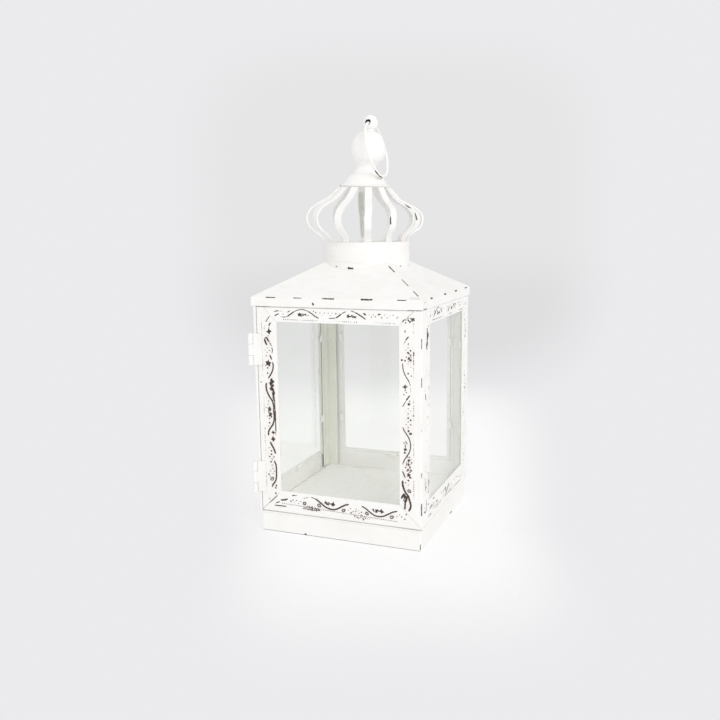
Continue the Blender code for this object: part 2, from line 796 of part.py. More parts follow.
def make_finial(collections, frame, cap_frame):
    """The bulb, the ball with its stem, and the bolt that clamps them to the cap, leaning."""
    parts, tools = collections
    top = BULB_HEIGHT
    stem_floor = top - STEM_DEPTH - GAP
    below = lean_shift(BULB_FOOT_RADIUS) + GAP
    outline = [(across * BULB_RADIUS, up * top) for across, up in BULB_OUTLINE]
    belly = smooth_path([(BULB_TOP_RADIUS, top)] + outline + [(BULB_FOOT_RADIUS, 0.0)], BULB_STEPS)
    stem_hole = STEM_RADIUS + GAP
    bolt_hole = BOLT_RADIUS + GAP
    profile = [(0.0, stem_floor), (stem_hole, stem_floor), (stem_hole, top)]
    profile += [tuple(point) for point in belly]
    profile += [(BULB_FOOT_RADIUS, -below), (bolt_hole, -below), (bolt_hole, BOLT_DEPTH + GAP)]
    profile += [(0.0, BOLT_DEPTH + GAP)]
    bulb = turned("finial_bulb", profile, painted("finial_bulb_paint"), parts, frame)
    reach = 2 * BULB_RADIUS
    mesh = box_mesh("bulb_seat_cut", (-reach, -reach, -reach), (reach, reach, GAP))
    seat_cut = add_tool("bulb_seat_cut", mesh, tools, cap_frame)
    boolean(bulb, seat_cut, "DIFFERENCE")

    bm = bmesh.new()
    place = Matrix.Translation((0, 0, BALL_HEIGHT))
    bmesh.ops.create_uvsphere(
        bm,
        u_segments=FINE_STEPS,
        v_segments=FINE_STEPS // 2,
        radius=BALL_RADIUS,
        matrix=place,
    )
    mesh = mesh_from(bm, "finial_ball")
    mesh.shade_smooth()
    ball = add_object("finial_ball", mesh, painted("finial_ball_paint"), parts, frame)
    stem_top = BALL_HEIGHT - BALL_RADIUS / 2
    stem = cylinder_mesh("ball_stem", STEM_RADIUS, top - STEM_DEPTH, stem_top, FINE_STEPS)
    boolean(ball, add_tool("ball_stem", stem, tools, frame), "UNION")
    reach = 2 * BALL_RADIUS
    hole = cylinder_mesh("ball_hole", RING_HOLE_RADIUS, -reach, reach, FINE_STEPS)
    hole_tool = add_tool("ball_hole", hole, tools, frame)
    hole_tool.location = (0, 0, BALL_HEIGHT)
    hole_tool.rotation_euler = (math.pi / 2, 0, 0)
    boolean(ball, hole_tool, "DIFFERENCE")

    head_top = -GAP - CAP_SHEET - lean_shift(BOLT_HEAD_RADIUS) - GAP
    profile = [
        (0.0, BOLT_DEPTH),
        (BOLT_RADIUS, BOLT_DEPTH),
        (BOLT_RADIUS, head_top),
        (BOLT_HEAD_RADIUS, head_top),
        (BOLT_HEAD_RADIUS, head_top - BOLT_HEAD_HEIGHT),
        (0.0, head_top - BOLT_HEAD_HEIGHT),
    ]
    steel = material("finial_bolt_steel", BARE_STEEL, roughness=0.45, metallic=1.0)
    turned("finial_bolt", profile, steel, parts, frame, steps=FINE_STEPS)


def ring_pivot():
    """Middle of the ball's hole, which the ring swings about."""
    lean = math.radians(FINIAL_LEAN_DEG)
    return Vector((BALL_HEIGHT * math.sin(lean), 0, BULB_SEAT + BALL_HEIGHT * math.cos(lean)))


def ring_lift():
    """Height of the wire's middle above the hole's axis, with its curve seated on the hole's ends."""
    sag = RING_RADIUS - math.sqrt(RING_RADIUS ** 2 - BALL_RADIUS ** 2)
    return sag - (RING_HOLE_RADIUS - RING_WIRE_RADIUS - GAP)


def ring_rest(side):
    """Angle from straight down at which the ring leans on the cap, at +X (1) or -X (-1)."""
    lean = crown_lean(1.0)
    bell = [lean @ Vector((side * radius, 0, height)) for radius, height in cap_bell()]
    reach = 2 * RING_RADIUS - ring_lift()
    angle = RING_FREE_DEG
    clearance = math.inf
    while clearance > RING_WIRE_RADIUS + GAP:
        angle -= RING_REST_STEP_DEG
        turn = math.radians(angle)
        tip = ring_pivot() + reach * Vector((side * math.sin(turn), 0, -math.cos(turn)))
        clearance = min(distance_to_segment(tip, a, b) for a, b in zip(bell, bell[1:]))
    return math.radians(angle + RING_REST_STEP_DEG)


def distance_to_segment(point, a, b):
    share = (point - a).dot(b - a) / (b - a).length_squared
    return (point - a.lerp(b, min(max(share, 0.0), 1.0))).length


def make_ring(parts):
    """The wire ring, hung through the ball and resting against the right side of the cap."""
    lift = ring_lift()
    frame = add_empty("ring_frame", ring_pivot(), parts, turn=(0, -ring_rest(1), 0))
    bpy.ops.mesh.primitive_torus_add(
        major_segments=2 * TURN_STEPS,
        minor_segments=RING_WIRE_STEPS,
        major_radius=RING_RADIUS,
        minor_radius=RING_WIRE_RADIUS,
        rotation=(0, math.pi / 2, 0),
    )
    ring = bpy.context.object
    bpy.ops.object.transform_apply(location=False, rotation=True, scale=False)
    ring.name = "hanging_ring"
    ring.data.name = "hanging_ring"
    ring.data.transform(Matrix.Translation((0, 0, lift - RING_RADIUS)))
    ring.data.materials.clear()
    ring.data.materials.append(painted("hanging_ring_paint"))
    ring.data.shade_smooth()
    for collection in list(ring.users_collection):
        collection.objects.unlink(ring)
    parts.objects.link(ring)
    ring.location = (0, 0, 0)
    ring.parent = frame


def main():
    clear_scene()
    parts = new_collection("lantern")
    tools = new_collection("lantern_tools")
    collections = (parts, tools)
    make_base(parts)
    make_walls(collections)
    make_posts(collections)
    door_frame = add_empty("door_frame", (*HINGE_AXIS, 0), parts)
    make_door(collections, door_frame)
    make_catch(parts, door_frame)
    make_hinges(collections, door_frame)
    make_roof(parts)
    make_collar(collections)
    make_ribs(parts)
    cap_frame = add_empty("cap_frame", (0, 0, CAP_TOP), parts)
    cap_frame.matrix_basis = crown_lean(1.0) @ Matrix.Translation((0, 0, CAP_TOP))
    make_cap(parts, cap_frame)
    finial_frame = add_empty(
        "finial_frame", (0, 0, BULB_SEAT), parts, turn=(0, math.radians(FINIAL_LEAN_DEG), 0)
    )
    make_finial(collections, finial_frame, cap_frame)
    make_ring(parts)
    bpy.context.view_layer.update()


main()
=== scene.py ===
"""Looks of the lantern: rubbed white paint, stamped vine ornament, old glass, and a pale studio.

Metres, +Z up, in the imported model's own frame. The door faces -Y. The ornament, the putty and the
lists of marks are in millimetres.
"""

import functools
import json
import math
import random

import bmesh
import bpy
from mathutils import Matrix, Vector

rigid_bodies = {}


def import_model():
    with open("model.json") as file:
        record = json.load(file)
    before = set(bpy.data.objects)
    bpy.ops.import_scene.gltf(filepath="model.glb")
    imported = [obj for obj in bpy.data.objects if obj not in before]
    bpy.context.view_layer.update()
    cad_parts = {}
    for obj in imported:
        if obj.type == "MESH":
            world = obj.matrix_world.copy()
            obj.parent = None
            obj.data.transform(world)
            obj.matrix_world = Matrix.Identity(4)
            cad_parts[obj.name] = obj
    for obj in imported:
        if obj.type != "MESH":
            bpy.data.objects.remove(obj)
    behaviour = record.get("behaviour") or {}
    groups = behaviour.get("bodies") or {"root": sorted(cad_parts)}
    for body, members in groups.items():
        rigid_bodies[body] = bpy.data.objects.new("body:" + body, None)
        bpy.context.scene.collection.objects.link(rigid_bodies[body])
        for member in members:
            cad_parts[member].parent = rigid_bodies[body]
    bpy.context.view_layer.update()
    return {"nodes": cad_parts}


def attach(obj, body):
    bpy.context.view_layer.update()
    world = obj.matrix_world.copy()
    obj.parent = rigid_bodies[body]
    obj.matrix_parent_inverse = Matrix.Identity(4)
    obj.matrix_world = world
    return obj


MM = 0.001
ANY_ANGLE = (0, 6.28)

# Camera, fitted to the photograph
CAMERA_PLACE = (0.27315, -0.70915, 0.28189)
CAMERA_TURN_DEG = (80.466329, 0.722284, 21.488736)
CAMERA_LENS_MM = 39.564533
SENSOR_MM = 36.0
CLIP_START = 0.01
CLIP_END = 50.0

# Background: plain grey, with a darker cloud of painted shade on a screen behind the lantern,
# darker still towards its foot
BACKDROP_GREY = (0.831, 0.831, 0.847)
CLOUD_GREY = (0.791, 0.791, 0.796)
CLOUD_LOW_GREY = (0.733, 0.733, 0.742)
CLOUD_PLACE = (-0.48, 1.475, 0.302)
CLOUD_TURN_DEG = 21
CLOUD_SCREEN = 1.6
CLOUD_HALF = (0.555, 0.46)
CLOUD_EDGE = (0.74, 1.24)
CLOUD_FADE = (-0.27, -0.04)

# Floor: white paper with a painted pool of light, which fades out into the grey background. It lies
# along the photograph's right and back directions, spreads from POOL_FRONT backwards, and is longer
# behind the lantern than before it.
FLOOR_SIZE = 2.4
FLOOR_DROP = 0.0001
FLOOR_WHITE = (0.97, 0.97, 0.97)
FLOOR_GLOW = 0.62
FLOOR_REACH = (0.50, 0.98)
POOL_RIGHT = (0.93, 0.366, 0.0)
POOL_BACK = (-0.366, 0.93, 0.0)
POOL_SHIFT = 0.02
POOL_FRONT = 0.05
POOL_SPREAD = 0.25
POOL_WIDTH = 0.175
POOL_NEAR_SLOPE = -2.25
POOL_NEAR_START = 0.25
POOL_LENGTH = 0.75

# Light
PURE_WHITE = (1.0, 1.0, 1.0)
WORLD_STRENGTH = 0.82
KEY_PLACE = (2.7, -3.0, 2.5)
KEY_TARGET = (0, 0, 0.18)
KEY_SIZE = 2.4
KEY_POWER = 68.0

# Paint, and what shows where it is stained or rubbed through. Some of these colours also paint
# shade:
# on a back rib, along the right wall's front corner, round the ball's hole and on the posts.
WHITE = (0.925, 0.918, 0.905)
CREAM = (0.900, 0.886, 0.858)
GRIME = (0.640, 0.595, 0.520)
RIDGE_GREY = (0.66, 0.64, 0.60)
# Dark metal where the paint is rubbed through, also used for the painted shade round the ball's
# hole
RUBBED_AND_SHADE = (0.030, 0.021, 0.017)
RUSTY_AND_SHADE = (0.115, 0.066, 0.045)
# Pink stains; the same tone paints shade along the right wall's front corner
PINK_STAIN_AND_SHADE = (0.620, 0.500, 0.450)
# Green-grey painted shade for the inner face of a back rib
BACK_RIB_SHADE_TONE = (0.400, 0.410, 0.335)
FADED_STAIN = (0.86, 0.81, 0.78)
STAIN_AND_SHADE_SHARE = 0.45
PLATE_TINTS = ((0.97, 0.97, 0.94), (0.95, 0.945, 0.90))
# Green-grey and darker than the white paint: partly the posts' own tone, partly painted shade of
# the lantern's dim inside
POST_TINTS_AND_SHADE = ((0.85, 0.87, 0.79), (0.80, 0.82, 0.73))
EDGE_RADIUS = 0.0007
PAINT_RELIEF = 0.00012

# Ridges in paint: noise scale, stretch of its coordinates, depth and tone
BRUSHED = (60.0, (1.0, 1.0, 5.0), 1.6, 0.10)
BANDED = (34.0, (1.0, 1.0, 13.0), 3.2, 0.16)
SCUFFED = (150.0, (1.0, 2.2, 1.0), 1.0, 0.22)

# Noise scales of the paint, per metre
CLOUDY = 38.0
GRAINY = 330.0
FINE = 1100.0
FLECK_FIELDS = 26.0
FLECK_DOTS = 560.0
EDGE_WEAR = 55.0
RUST = 700.0

# Other materials
BOLT_STEEL = (0.38, 0.36, 0.33)
KEEPER_STEEL = (0.44, 0.42, 0.40)
CASE_BLACK = (0.028, 0.028, 0.030)
CASE_DUST = (0.11, 0.105, 0.10)
GLASS_TINTS = ((0.994, 0.999, 0.988), (0.980, 0.990, 0.972))
GLASS_CLEAR = (0.996, 0.998, 0.994)
GLASS_IOR = 1.46

# Places on the frame that the beads of paint follow, and the beads' own sizes
BULB_SEAT = (0.0, 0.0, 0.3305)
BALL_CENTRE = (0.005643, 0.0, 0.376757)
BALL_DROP = 0.00685
NECK_RADIUS = 0.0036
NECK_BEAD = 0.00125
NECK_STEPS = 40
FOOT_BAND = 0.0022
FOOT_INSIDE = 0.0105
FOOT_LOW_WEIGHT = 4.0
FOOT_BEAD = 0.00055
FOOT_STEPS = 72
COLLAR_RADIUS = 0.0411
COLLAR_LIFT = 0.0002
COLLAR_BEAD = 0.00042
COLLAR_STEPS = 160
EAVE_TOP = 0.2210
EAVE_HALF = 0.0811
ROOF_SLOPE = 0.57
FLOOR_LIP = 0.0745
FLOOR_LIP_HEIGHT = 0.0198
FLOOR_LIP_BEAD = 0.00085
FLOOR_LIP_STEPS = 40
BEAD_SIDES = 8

# Putty in the corners between the wall panes and the posts: places in a wall's own frame, in mm
PUTTY_EDGE = 65.5
PUTTY_FACE = -76.66
PUTTY_REACH = 3.4
PUTTY_DEPTH = 1.25
PUTTY_LIP = 0.1
PUTTY_HEIGHTS = (20.2, 212.0)
PUTTY_STEPS = 48
PUTTY_SEED = 3

# Relief of the stamped ornament, in mm
RELIEF = 0.38
SUNK = 0.06
BODY_HALF = 80.0
DOT_FULL = 0.8
LINE_FULL = 0.6
LINE_STEP = 0.8
LOOP_STEPS = 12
LOOP_LINE = 0.48
LOOP_DOT = 0.36
BEAD_SIZE = 0.50
BEAD_PITCH = 1.80
FIRST_SEED = 11


def clamp(value, low=0.0, high=1.0):
    return max(low, min(high, value))


def metres(point):
    return tuple(part * MM for part in point)


def turns(count):
    """Angles of equal steps around a full turn."""
    return [math.tau * i / count for i in range(count)]


def new_object(name, data):
    obj = bpy.data.objects.new(name, data)
    bpy.context.scene.collection.objects.link(obj)
    return obj


def tube_faces(sections, width, closed, first=0):
    """Faces of a tube through sections of some width in points, with caps unless it is closed."""
    faces = []
    for i in range(sections if closed else sections - 1):
        a, b = first + i * width, first + (i + 1) % sections * width
        faces += [(a + k, b + k, b + (k + 1) % width, a + (k + 1) % width) for k in range(width)]
    if not closed:
        last = first + (sections - 1) * width
        faces.append(tuple(range(first, first + width)))
        faces.append(tuple(reversed(range(last, last + width))))
    return faces


# Materials


class Nodes:
    """Short names for the few shader nodes that the materials and the world use."""

    def __init__(self, owner, output="ShaderNodeOutputMaterial"):
        owner.use_nodes = True
        self.owner = owner
        self.tree = owner.node_tree
        self.tree.nodes.clear()
        self.output = self.node(output)

    @functools.cached_property
    def coords(self):
        return self.node("ShaderNodeTexCoord").outputs["Object"]

    def wire(self, value, socket):
        if isinstance(value, bpy.types.NodeSocket):
            self.tree.links.new(value, socket)
        else:
            socket.default_value = (*value, 1.0) if socket.type == "RGBA" else value

    def node(self, kind, sockets=(), **settings):
        """A new node, with the given sockets, by name or number, wired or set."""
        node = self.tree.nodes.new(kind)
        for key, value in settings.items():
            setattr(node, key, value)
        for key, value in dict(sockets).items():
            self.wire(value, node.inputs[key])
        return node

    def shader(self, kind, sockets=()):
        return self.node(kind, sockets).outputs[0]

    def blend(self, share, first, second):
        """Two shaders mixed, with the given share of the second."""
        return self.shader("ShaderNodeMixShader", enumerate((share, first, second)))

    def surface(self, shader):
        self.wire(shader, self.output.inputs["Surface"])
        return self.owner

    def either_ray(self, one, other):
        path = self.node("ShaderNodeLightPath")
        return self.math("MAXIMUM", path.outputs[one], path.outputs[other])

    def math(self, operation, *values, clamped=False):
        settings = dict(operation=operation, use_clamp=clamped)
        return self.node("ShaderNodeMath", enumerate(values), **settings).outputs[0]

    def fold(self, operation, values):
        """One value from many, taken two at a time."""
        return functools.reduce(lambda a, b: self.math(operation, a, b), values)

    def vector(self, operation, *values):
        names = (0, "Scale") if operation == "SCALE" else (0, 1)
        node = self.node("ShaderNodeVectorMath", zip(names, values), operation=operation)
        return node.outputs["Value" if operation in ("LENGTH", "DOT_PRODUCT") else "Vector"]

    def noise(self, scale, detail=3.0, roughness=0.55, stretch=None):
        place = self.vector("MULTIPLY", self.coords, stretch) if stretch else self.coords
        sockets = {"Vector": place, "Scale": scale, "Detail": detail, "Roughness": roughness}
        return self.node("ShaderNodeTexNoise", sockets).outputs["Fac"]

    def ramp(self, value, low, high):
        """0 below low, 1 above high, smooth between."""
        sockets = {"Value": value, "From Min": low, "From Max": high}
        settings = dict(interpolation_type="SMOOTHSTEP")
        return self.node("ShaderNodeMapRange", sockets, **settings).outputs["Result"]

    def mix(self, share, a, b):
        sockets = {"Factor": share, 6: a, 7: b}
        return self.node("ShaderNodeMix", sockets, data_type="RGBA").outputs[2]

    def bump(self, height, distance, strength=1.0):
        sockets = {"Strength": strength, "Distance": distance, "Height": height}
        return self.node("ShaderNodeBump", sockets).outputs["Normal"]

    def rounded_square(self, a, b):
        """Distance from the middle of a square with round corners, 1 at its sides."""
        powers = [self.math("POWER", self.math("ABSOLUTE", part), 4.0) for part in (a, b)]
        return self.math("POWER", self.math("ADD", *powers), 0.25)

    def streak(self, start, end, radius):
        """Distance from the segment between two points, 1 at the given radius."""
        a, b = Vector(metres(start)), Vector(metres(end))
        along = b - a
        offset = self.vector("SUBTRACT", self.coords, tuple(a))
        slope = tuple(along / along.length_squared)
        share = self.vector("DOT_PRODUCT", offset, slope)
        share = self.math("MULTIPLY", share, 1.0, clamped=True)
        offset = self.vector("SUBTRACT", offset, self.vector("SCALE", tuple(along), share))
        return self.math("DIVIDE", self.vector("LENGTH", offset), radius * MM)

    def streaks(self, places, ragged, low=0.80, high=1.15):
        """1 inside any of the given streaks, with ragged edges."""
        nearest = self.fold("MINIMUM", [self.streak(*place) for place in places])
        outside = self.ramp(self.math("ADD", nearest, ragged), low, high)
        return self.math("SUBTRACT", 1.0, outside)


def paint(name, tint=WHITE, second=CREAM, marks=(), stains_and_shade=(), stain_and_shade_tone=PINK_STAIN_AND_SHADE, flecks=0.2,
          edges=0.0, ridges=None, grime=0.10, worn_attribute=None):
    """Old white paint over dark metal: uneven, rubbed through on edges, in marks and in flecks, and
    painted shade where the given stains and marks stand for shade.
    """
    n = Nodes(bpy.data.materials.new(name))
    cloudy = n.noise(CLOUDY, 4.0)
    grain = n.noise(GRAINY, 5.0, 0.62)
    fine = n.noise(FINE)
    colour = n.mix(n.ramp(cloudy, 0.35, 0.75), tint, second)
    colour = n.mix(n.math("MULTIPLY", n.ramp(grain, 0.56, 0.82), grime), colour, GRIME)
    shake = n.math("MULTIPLY", n.math("SUBTRACT", grain, 0.5), 2.2)
    height = n.math("MULTIPLY_ADD", fine, 0.25, n.math("MULTIPLY", cloudy, 1.2))
    if ridges:
        scale, stretch, depth, tone = ridges
        strokes = n.noise(scale, 4.0, 0.6, stretch)
        height = n.math("MULTIPLY_ADD", strokes, depth, height)
        colour = n.mix(n.math("MULTIPLY", n.ramp(strokes, 0.50, 0.68), tone), colour, RIDGE_GREY)
    # Stains, and painted shade that is given as stains
    if stains_and_shade:
        where = n.streaks(stains_and_shade, n.math("MULTIPLY", shake, 0.8), 0.3, 1.3)
        colour = n.mix(n.math("MULTIPLY", where, STAIN_AND_SHADE_SHARE), colour, stain_and_shade_tone)

    masks = []
    if flecks > 0:
        fields = n.ramp(n.noise(FLECK_FIELDS, 2.0), 0.50, 0.70)
        dots = n.ramp(n.noise(FLECK_DOTS, 2.0, 0.5), 0.715, 0.750)
        masks.append(n.math("MULTIPLY", n.math("MULTIPLY", dots, fields), min(1.0, flecks * 2)))
    if edges > 0:
        rounded = n.node("ShaderNodeBevel", {"Radius": EDGE_RADIUS}, samples=4).outputs[0]
        normal = n.node("ShaderNodeNewGeometry").outputs["Normal"]
        turned = n.math("SUBTRACT", 1.0, n.vector("DOT_PRODUCT", rounded, normal))
        start = 0.68 - 0.10 * edges
        where = n.ramp(n.noise(EDGE_WEAR, 3.0, 0.6), start, 0.74 - 0.10 * edges)
        masks.append(n.math("MULTIPLY", n.ramp(turned, 0.05, 0.16), where))
    # Marks, and painted shade that is given as marks
    if marks:
        masks.append(n.streaks(marks, shake))
    if worn_attribute:
        worn = n.node("ShaderNodeAttribute", attribute_name=worn_attribute).outputs["Fac"]
        chipped = n.math("MULTIPLY", n.math("SUBTRACT", fine, 0.5), 0.9)
        chipped = n.math("MULTIPLY_ADD", n.math("SUBTRACT", grain, 0.5), 0.7, chipped)
        masks.append(n.ramp(n.math("ADD", worn, chipped), 0.44, 0.62))

    roughness = n.math("MULTIPLY_ADD", grain, 0.16, 0.42)
    if masks:
        # Where the paint is rubbed through to dark metal, and where marks paint shade
        bare = n.fold("MAXIMUM", masks)
        dark = n.mix(n.ramp(n.noise(RUST), 0.42, 0.62), RUBBED_AND_SHADE, RUSTY_AND_SHADE)
        colour = n.mix(bare, colour, dark)
        roughness = n.math("MULTIPLY_ADD", bare, 0.20, roughness)
        height = n.math("MULTIPLY_ADD", bare, -0.8, height)
    return n.surface(n.shader("ShaderNodeBsdfPrincipled", {
        "Base Color": colour,
        "Roughness": roughness,
        "Normal": n.bump(height, PAINT_RELIEF),
    }))


def steel(name, colour, roughness):
    """Dulled bare steel with fine scratches."""
    n = Nodes(bpy.data.materials.new(name))
    scratches = n.noise(260.0, 4.0, 0.6, (1.0, 1.0, 6.0))
    darker = tuple(0.55 * part for part in colour)
    return n.surface(n.shader("ShaderNodeBsdfPrincipled", {
        "Base Color": n.mix(n.ramp(n.noise(120.0), 0.4, 0.7), colour, darker),
        "Metallic": 1.0,
        "Roughness": n.math("MULTIPLY_ADD", scratches, 0.25, roughness),
        "Normal": n.bump(scratches, 0.00005),
    }))


def dull_case(name):
    """Matte black moulded case, slightly dusty."""
    n = Nodes(bpy.data.materials.new(name))
    dust = n.noise(420.0, 5.0, 0.6)
    return n.surface(n.shader("ShaderNodeBsdfPrincipled", {
        "Base Color": n.mix(n.ramp(dust, 0.5, 0.8), CASE_BLACK, CASE_DUST),
        "Roughness": n.math("MULTIPLY_ADD", dust, 0.2, 0.5),
        "Normal": n.bump(n.noise(1200.0), 0.00004),
    }))


def window_glass(name):
    """Clear float glass with a faint green cast, slight waviness and a little haze."""
    n = Nodes(bpy.data.materials.new(name))
    haze = n.noise(45.0, 4.0)
    glass = n.shader("ShaderNodeBsdfPrincipled", {
        "Base Color": n.mix(n.ramp(haze, 0.3, 0.8), *GLASS_TINTS),
        "Roughness": n.math("MULTIPLY", n.ramp(haze, 0.45, 0.85), 0.03),
        "Transmission Weight": 1.0,
        "IOR": GLASS_IOR,
        "Normal": n.bump(n.noise(14.0, 1.0), 0.0006, 0.2),
    })
    clear = n.shader("ShaderNodeBsdfTransparent", {"Color": GLASS_CLEAR})
    return n.surface(n.blend(n.either_ray("Is Shadow Ray", "Is Diffuse Ray"), glass, clear))


# Stamped ornament: what each of the four strips of a wall carries, as seen from outside, in mm.
# Lines are (half width, [(x, z, wear), ...]); stars (x, z, size, points, wear); dots (x, z, size,
# wear); loops (x, z, size, turn in degrees, wear); beads ((x, z), (x, z), wear); patches of rubbed
# stamping (middle, half size, count of dots, their size). A wear of 1 is left out.

LEFT_STILE = dict(lines=[
    (0.42, [(-62.9, 204.2, 0.8), (-65.1, 201.4, 0.9), (-67.3, 198.4, 0.8)]),
    (0.38, [(-68.4, 195.4, 0.55), (-68.9, 192.1, 0.6), (-68.6, 189.9, 0.5)]),
    (0.95, [(-68.9, 183.3, 0.95), (-68.4, 181.1), (-67.5, 178.9), (-66.4, 177.5)]),
    (0.85, [(-68.7, 183.9, 0.9), (-66.7, 184.1), (-65.6, 182.2), (-64.2, 180.5, 0.95)]),
    (0.45, [(-64.2, 180.5, 0.8), (-62.9, 178.4, 0.62), (-61.8, 175.6, 0.55), (-61.3, 172.9, 0.65),
        (-61.8, 170.1, 0.5)]),
    (0.75, [(-64.2, 168.5, 0.95), (-63.1, 166.5), (-62.3, 164.3)]),
    (0.70, [(-61.6, 162.1, 0.85), (-60.9, 159.1), (-61.3, 155.8), (-62.3, 153.1), (-64, 150.1),
        (-66.4, 146.8, 0.95)]),
    (0.80, [(-68.4, 142.6, 0.95), (-68.9, 139.3), (-68.4, 135.5), (-67, 132.2), (-65.1, 128.9),
        (-63.1, 126.2), (-62, 122.9), (-61.5, 120), (-61.8, 117), (-61.5, 113.1), (-61.6, 108.7),
        (-62.9, 104.3), (-65.1, 101), (-67, 98.3), (-67.8, 96.1), (-68.1, 92.8, 0.85)]),
    (0.75, [(-61.3, 137.5), (-61.4, 131.6), (-61.1, 126.5)]),
    (0.50, [(-60.7, 127.5, 0.95), (-60.5, 123, 0.9), (-60.5, 118, 0.85)]),
    (0.40, [(-60.5, 117.5, 0.8), (-60.4, 111, 0.85), (-60.4, 104, 0.8), (-60.4, 98, 0.7),
        (-60.4, 93.9, 0.5)]),
    (0.90, [(-66.4, 87), (-64.5, 83.4), (-62.9, 80.7), (-61.2, 76, 0.95)]),
    (0.75, [(-62.9, 69.2, 0.95), (-61.3, 65.6), (-60.9, 62), (-60.9, 58.7, 0.85), (-61, 54.9, 0.9),
        (-61.7, 51), (-63.1, 48.3), (-65.1, 45.8, 0.75), (-65.9, 43.3, 0.5)]),
    (0.35, [(-60.6, 36, 0.7), (-65, 31.6, 0.75), (-70.3, 26.8, 0.55)]),
], stars=[
    (-64.1, 190, 2.7, 4), (-65.9, 161, 3.3, 5), (-63.4, 137.1, 2.4, 5), (-65.9, 118, 2.3, 5),
    (-65.3, 113.5, 2.1, 5), (-63.1, 96.1, 2.1, 4), (-63.1, 89.8, 2.7, 4),
], dots=[
    (-62.9, 197.3, 1, 0.95), (-63.7, 195.7, 0.9, 0.95), (-64, 193.5, 0.5, 0.8),
    (-65.2, 186, 0.6, 0.95), (-66.4, 174.8, 0.5, 0.9), (-68.6, 172.6, 0.4, 0.85),
    (-64.4, 172.6, 0.6, 0.95), (-66.7, 170.7, 0.5, 0.9), (-67.7, 167.6, 0.6, 0.95),
    (-68.9, 158.6, 0.5, 0.9), (-66.7, 156.4, 0.8), (-66.8, 151.7, 0.8), (-65.2, 158.3, 0.6, 0.95),
    (-71.6, 164.1, 0.35, 0.75), (-73.8, 142.9, 0.65, 0.9), (-63.1, 143.2, 1.5), (-61.6, 143.4, 1.1),
    (-61.6, 140.5, 1.1), (-64, 141.4, 1.2), (-62.6, 139.5, 1.1), (-68.4, 128.6, 0.4, 0.8),
    (-66.8, 125.6, 0.6, 0.95), (-67.3, 122.6, 0.45, 0.7), (-69.5, 119.2, 0.5, 0.8),
    (-64.5, 110.9, 0.9), (-66.2, 109.3, 0.7, 0.85), (-68.5, 111.2, 0.5, 0.95), (-66.4, 105.1, 0.9),
    (-67.5, 102.1, 0.5, 0.7), (-71.2, 99.4, 0.65, 0.8), (-67.7, 81.2, 0.5, 0.8), (-65.5, 78.5, 0.8),
    (-65.6, 75.1, 0.9), (-67.4, 72.7, 0.8), (-63.1, 72.7, 0.8, 0.65), (-65.1, 70.5, 0.7),
    (-66.2, 67.8, 0.9), (-65.1, 64.8, 0.6, 0.95), (-64.5, 61.4, 0.6, 0.7), (-67, 59, 0.6, 0.7),
    (-62.9, 59, 0.6, 0.95), (-64.5, 56.8, 0.5, 0.7), (-68.9, 55.7, 0.9, 0.95),
    (-67.7, 54, 0.6, 0.95), (-61.4, 45.2, 1), (-62.2, 43, 0.9), (-62.4, 37.8, 1),
    (-68.9, 31.8, 0.8, 0.55), (-72.5, 65.3, 0.5, 0.7), (-73.6, 61.2, 0.35, 0.7),
    (-72.2, 59, 0.4, 0.7), (-72.7, 56, 0.3, 0.7), (-72.7, 52.7, 0.3, 0.7), (-70.5, 75.8, 0.4, 0.65),
], loops=[
    (-65.6, 51.6, 1.7, 45),
], beads=[
    ((-71.6, 38), (-71.6, 200), 0.38),
], patches=[
    ((-62.9, 142.5), (2.4, 4), 24, 0.85), ((-61.6, 131.5), (1.3, 6.5), 24, 0.7),
    ((-65.6, 115.5), (1.6, 4.5), 12, 0.7),
])
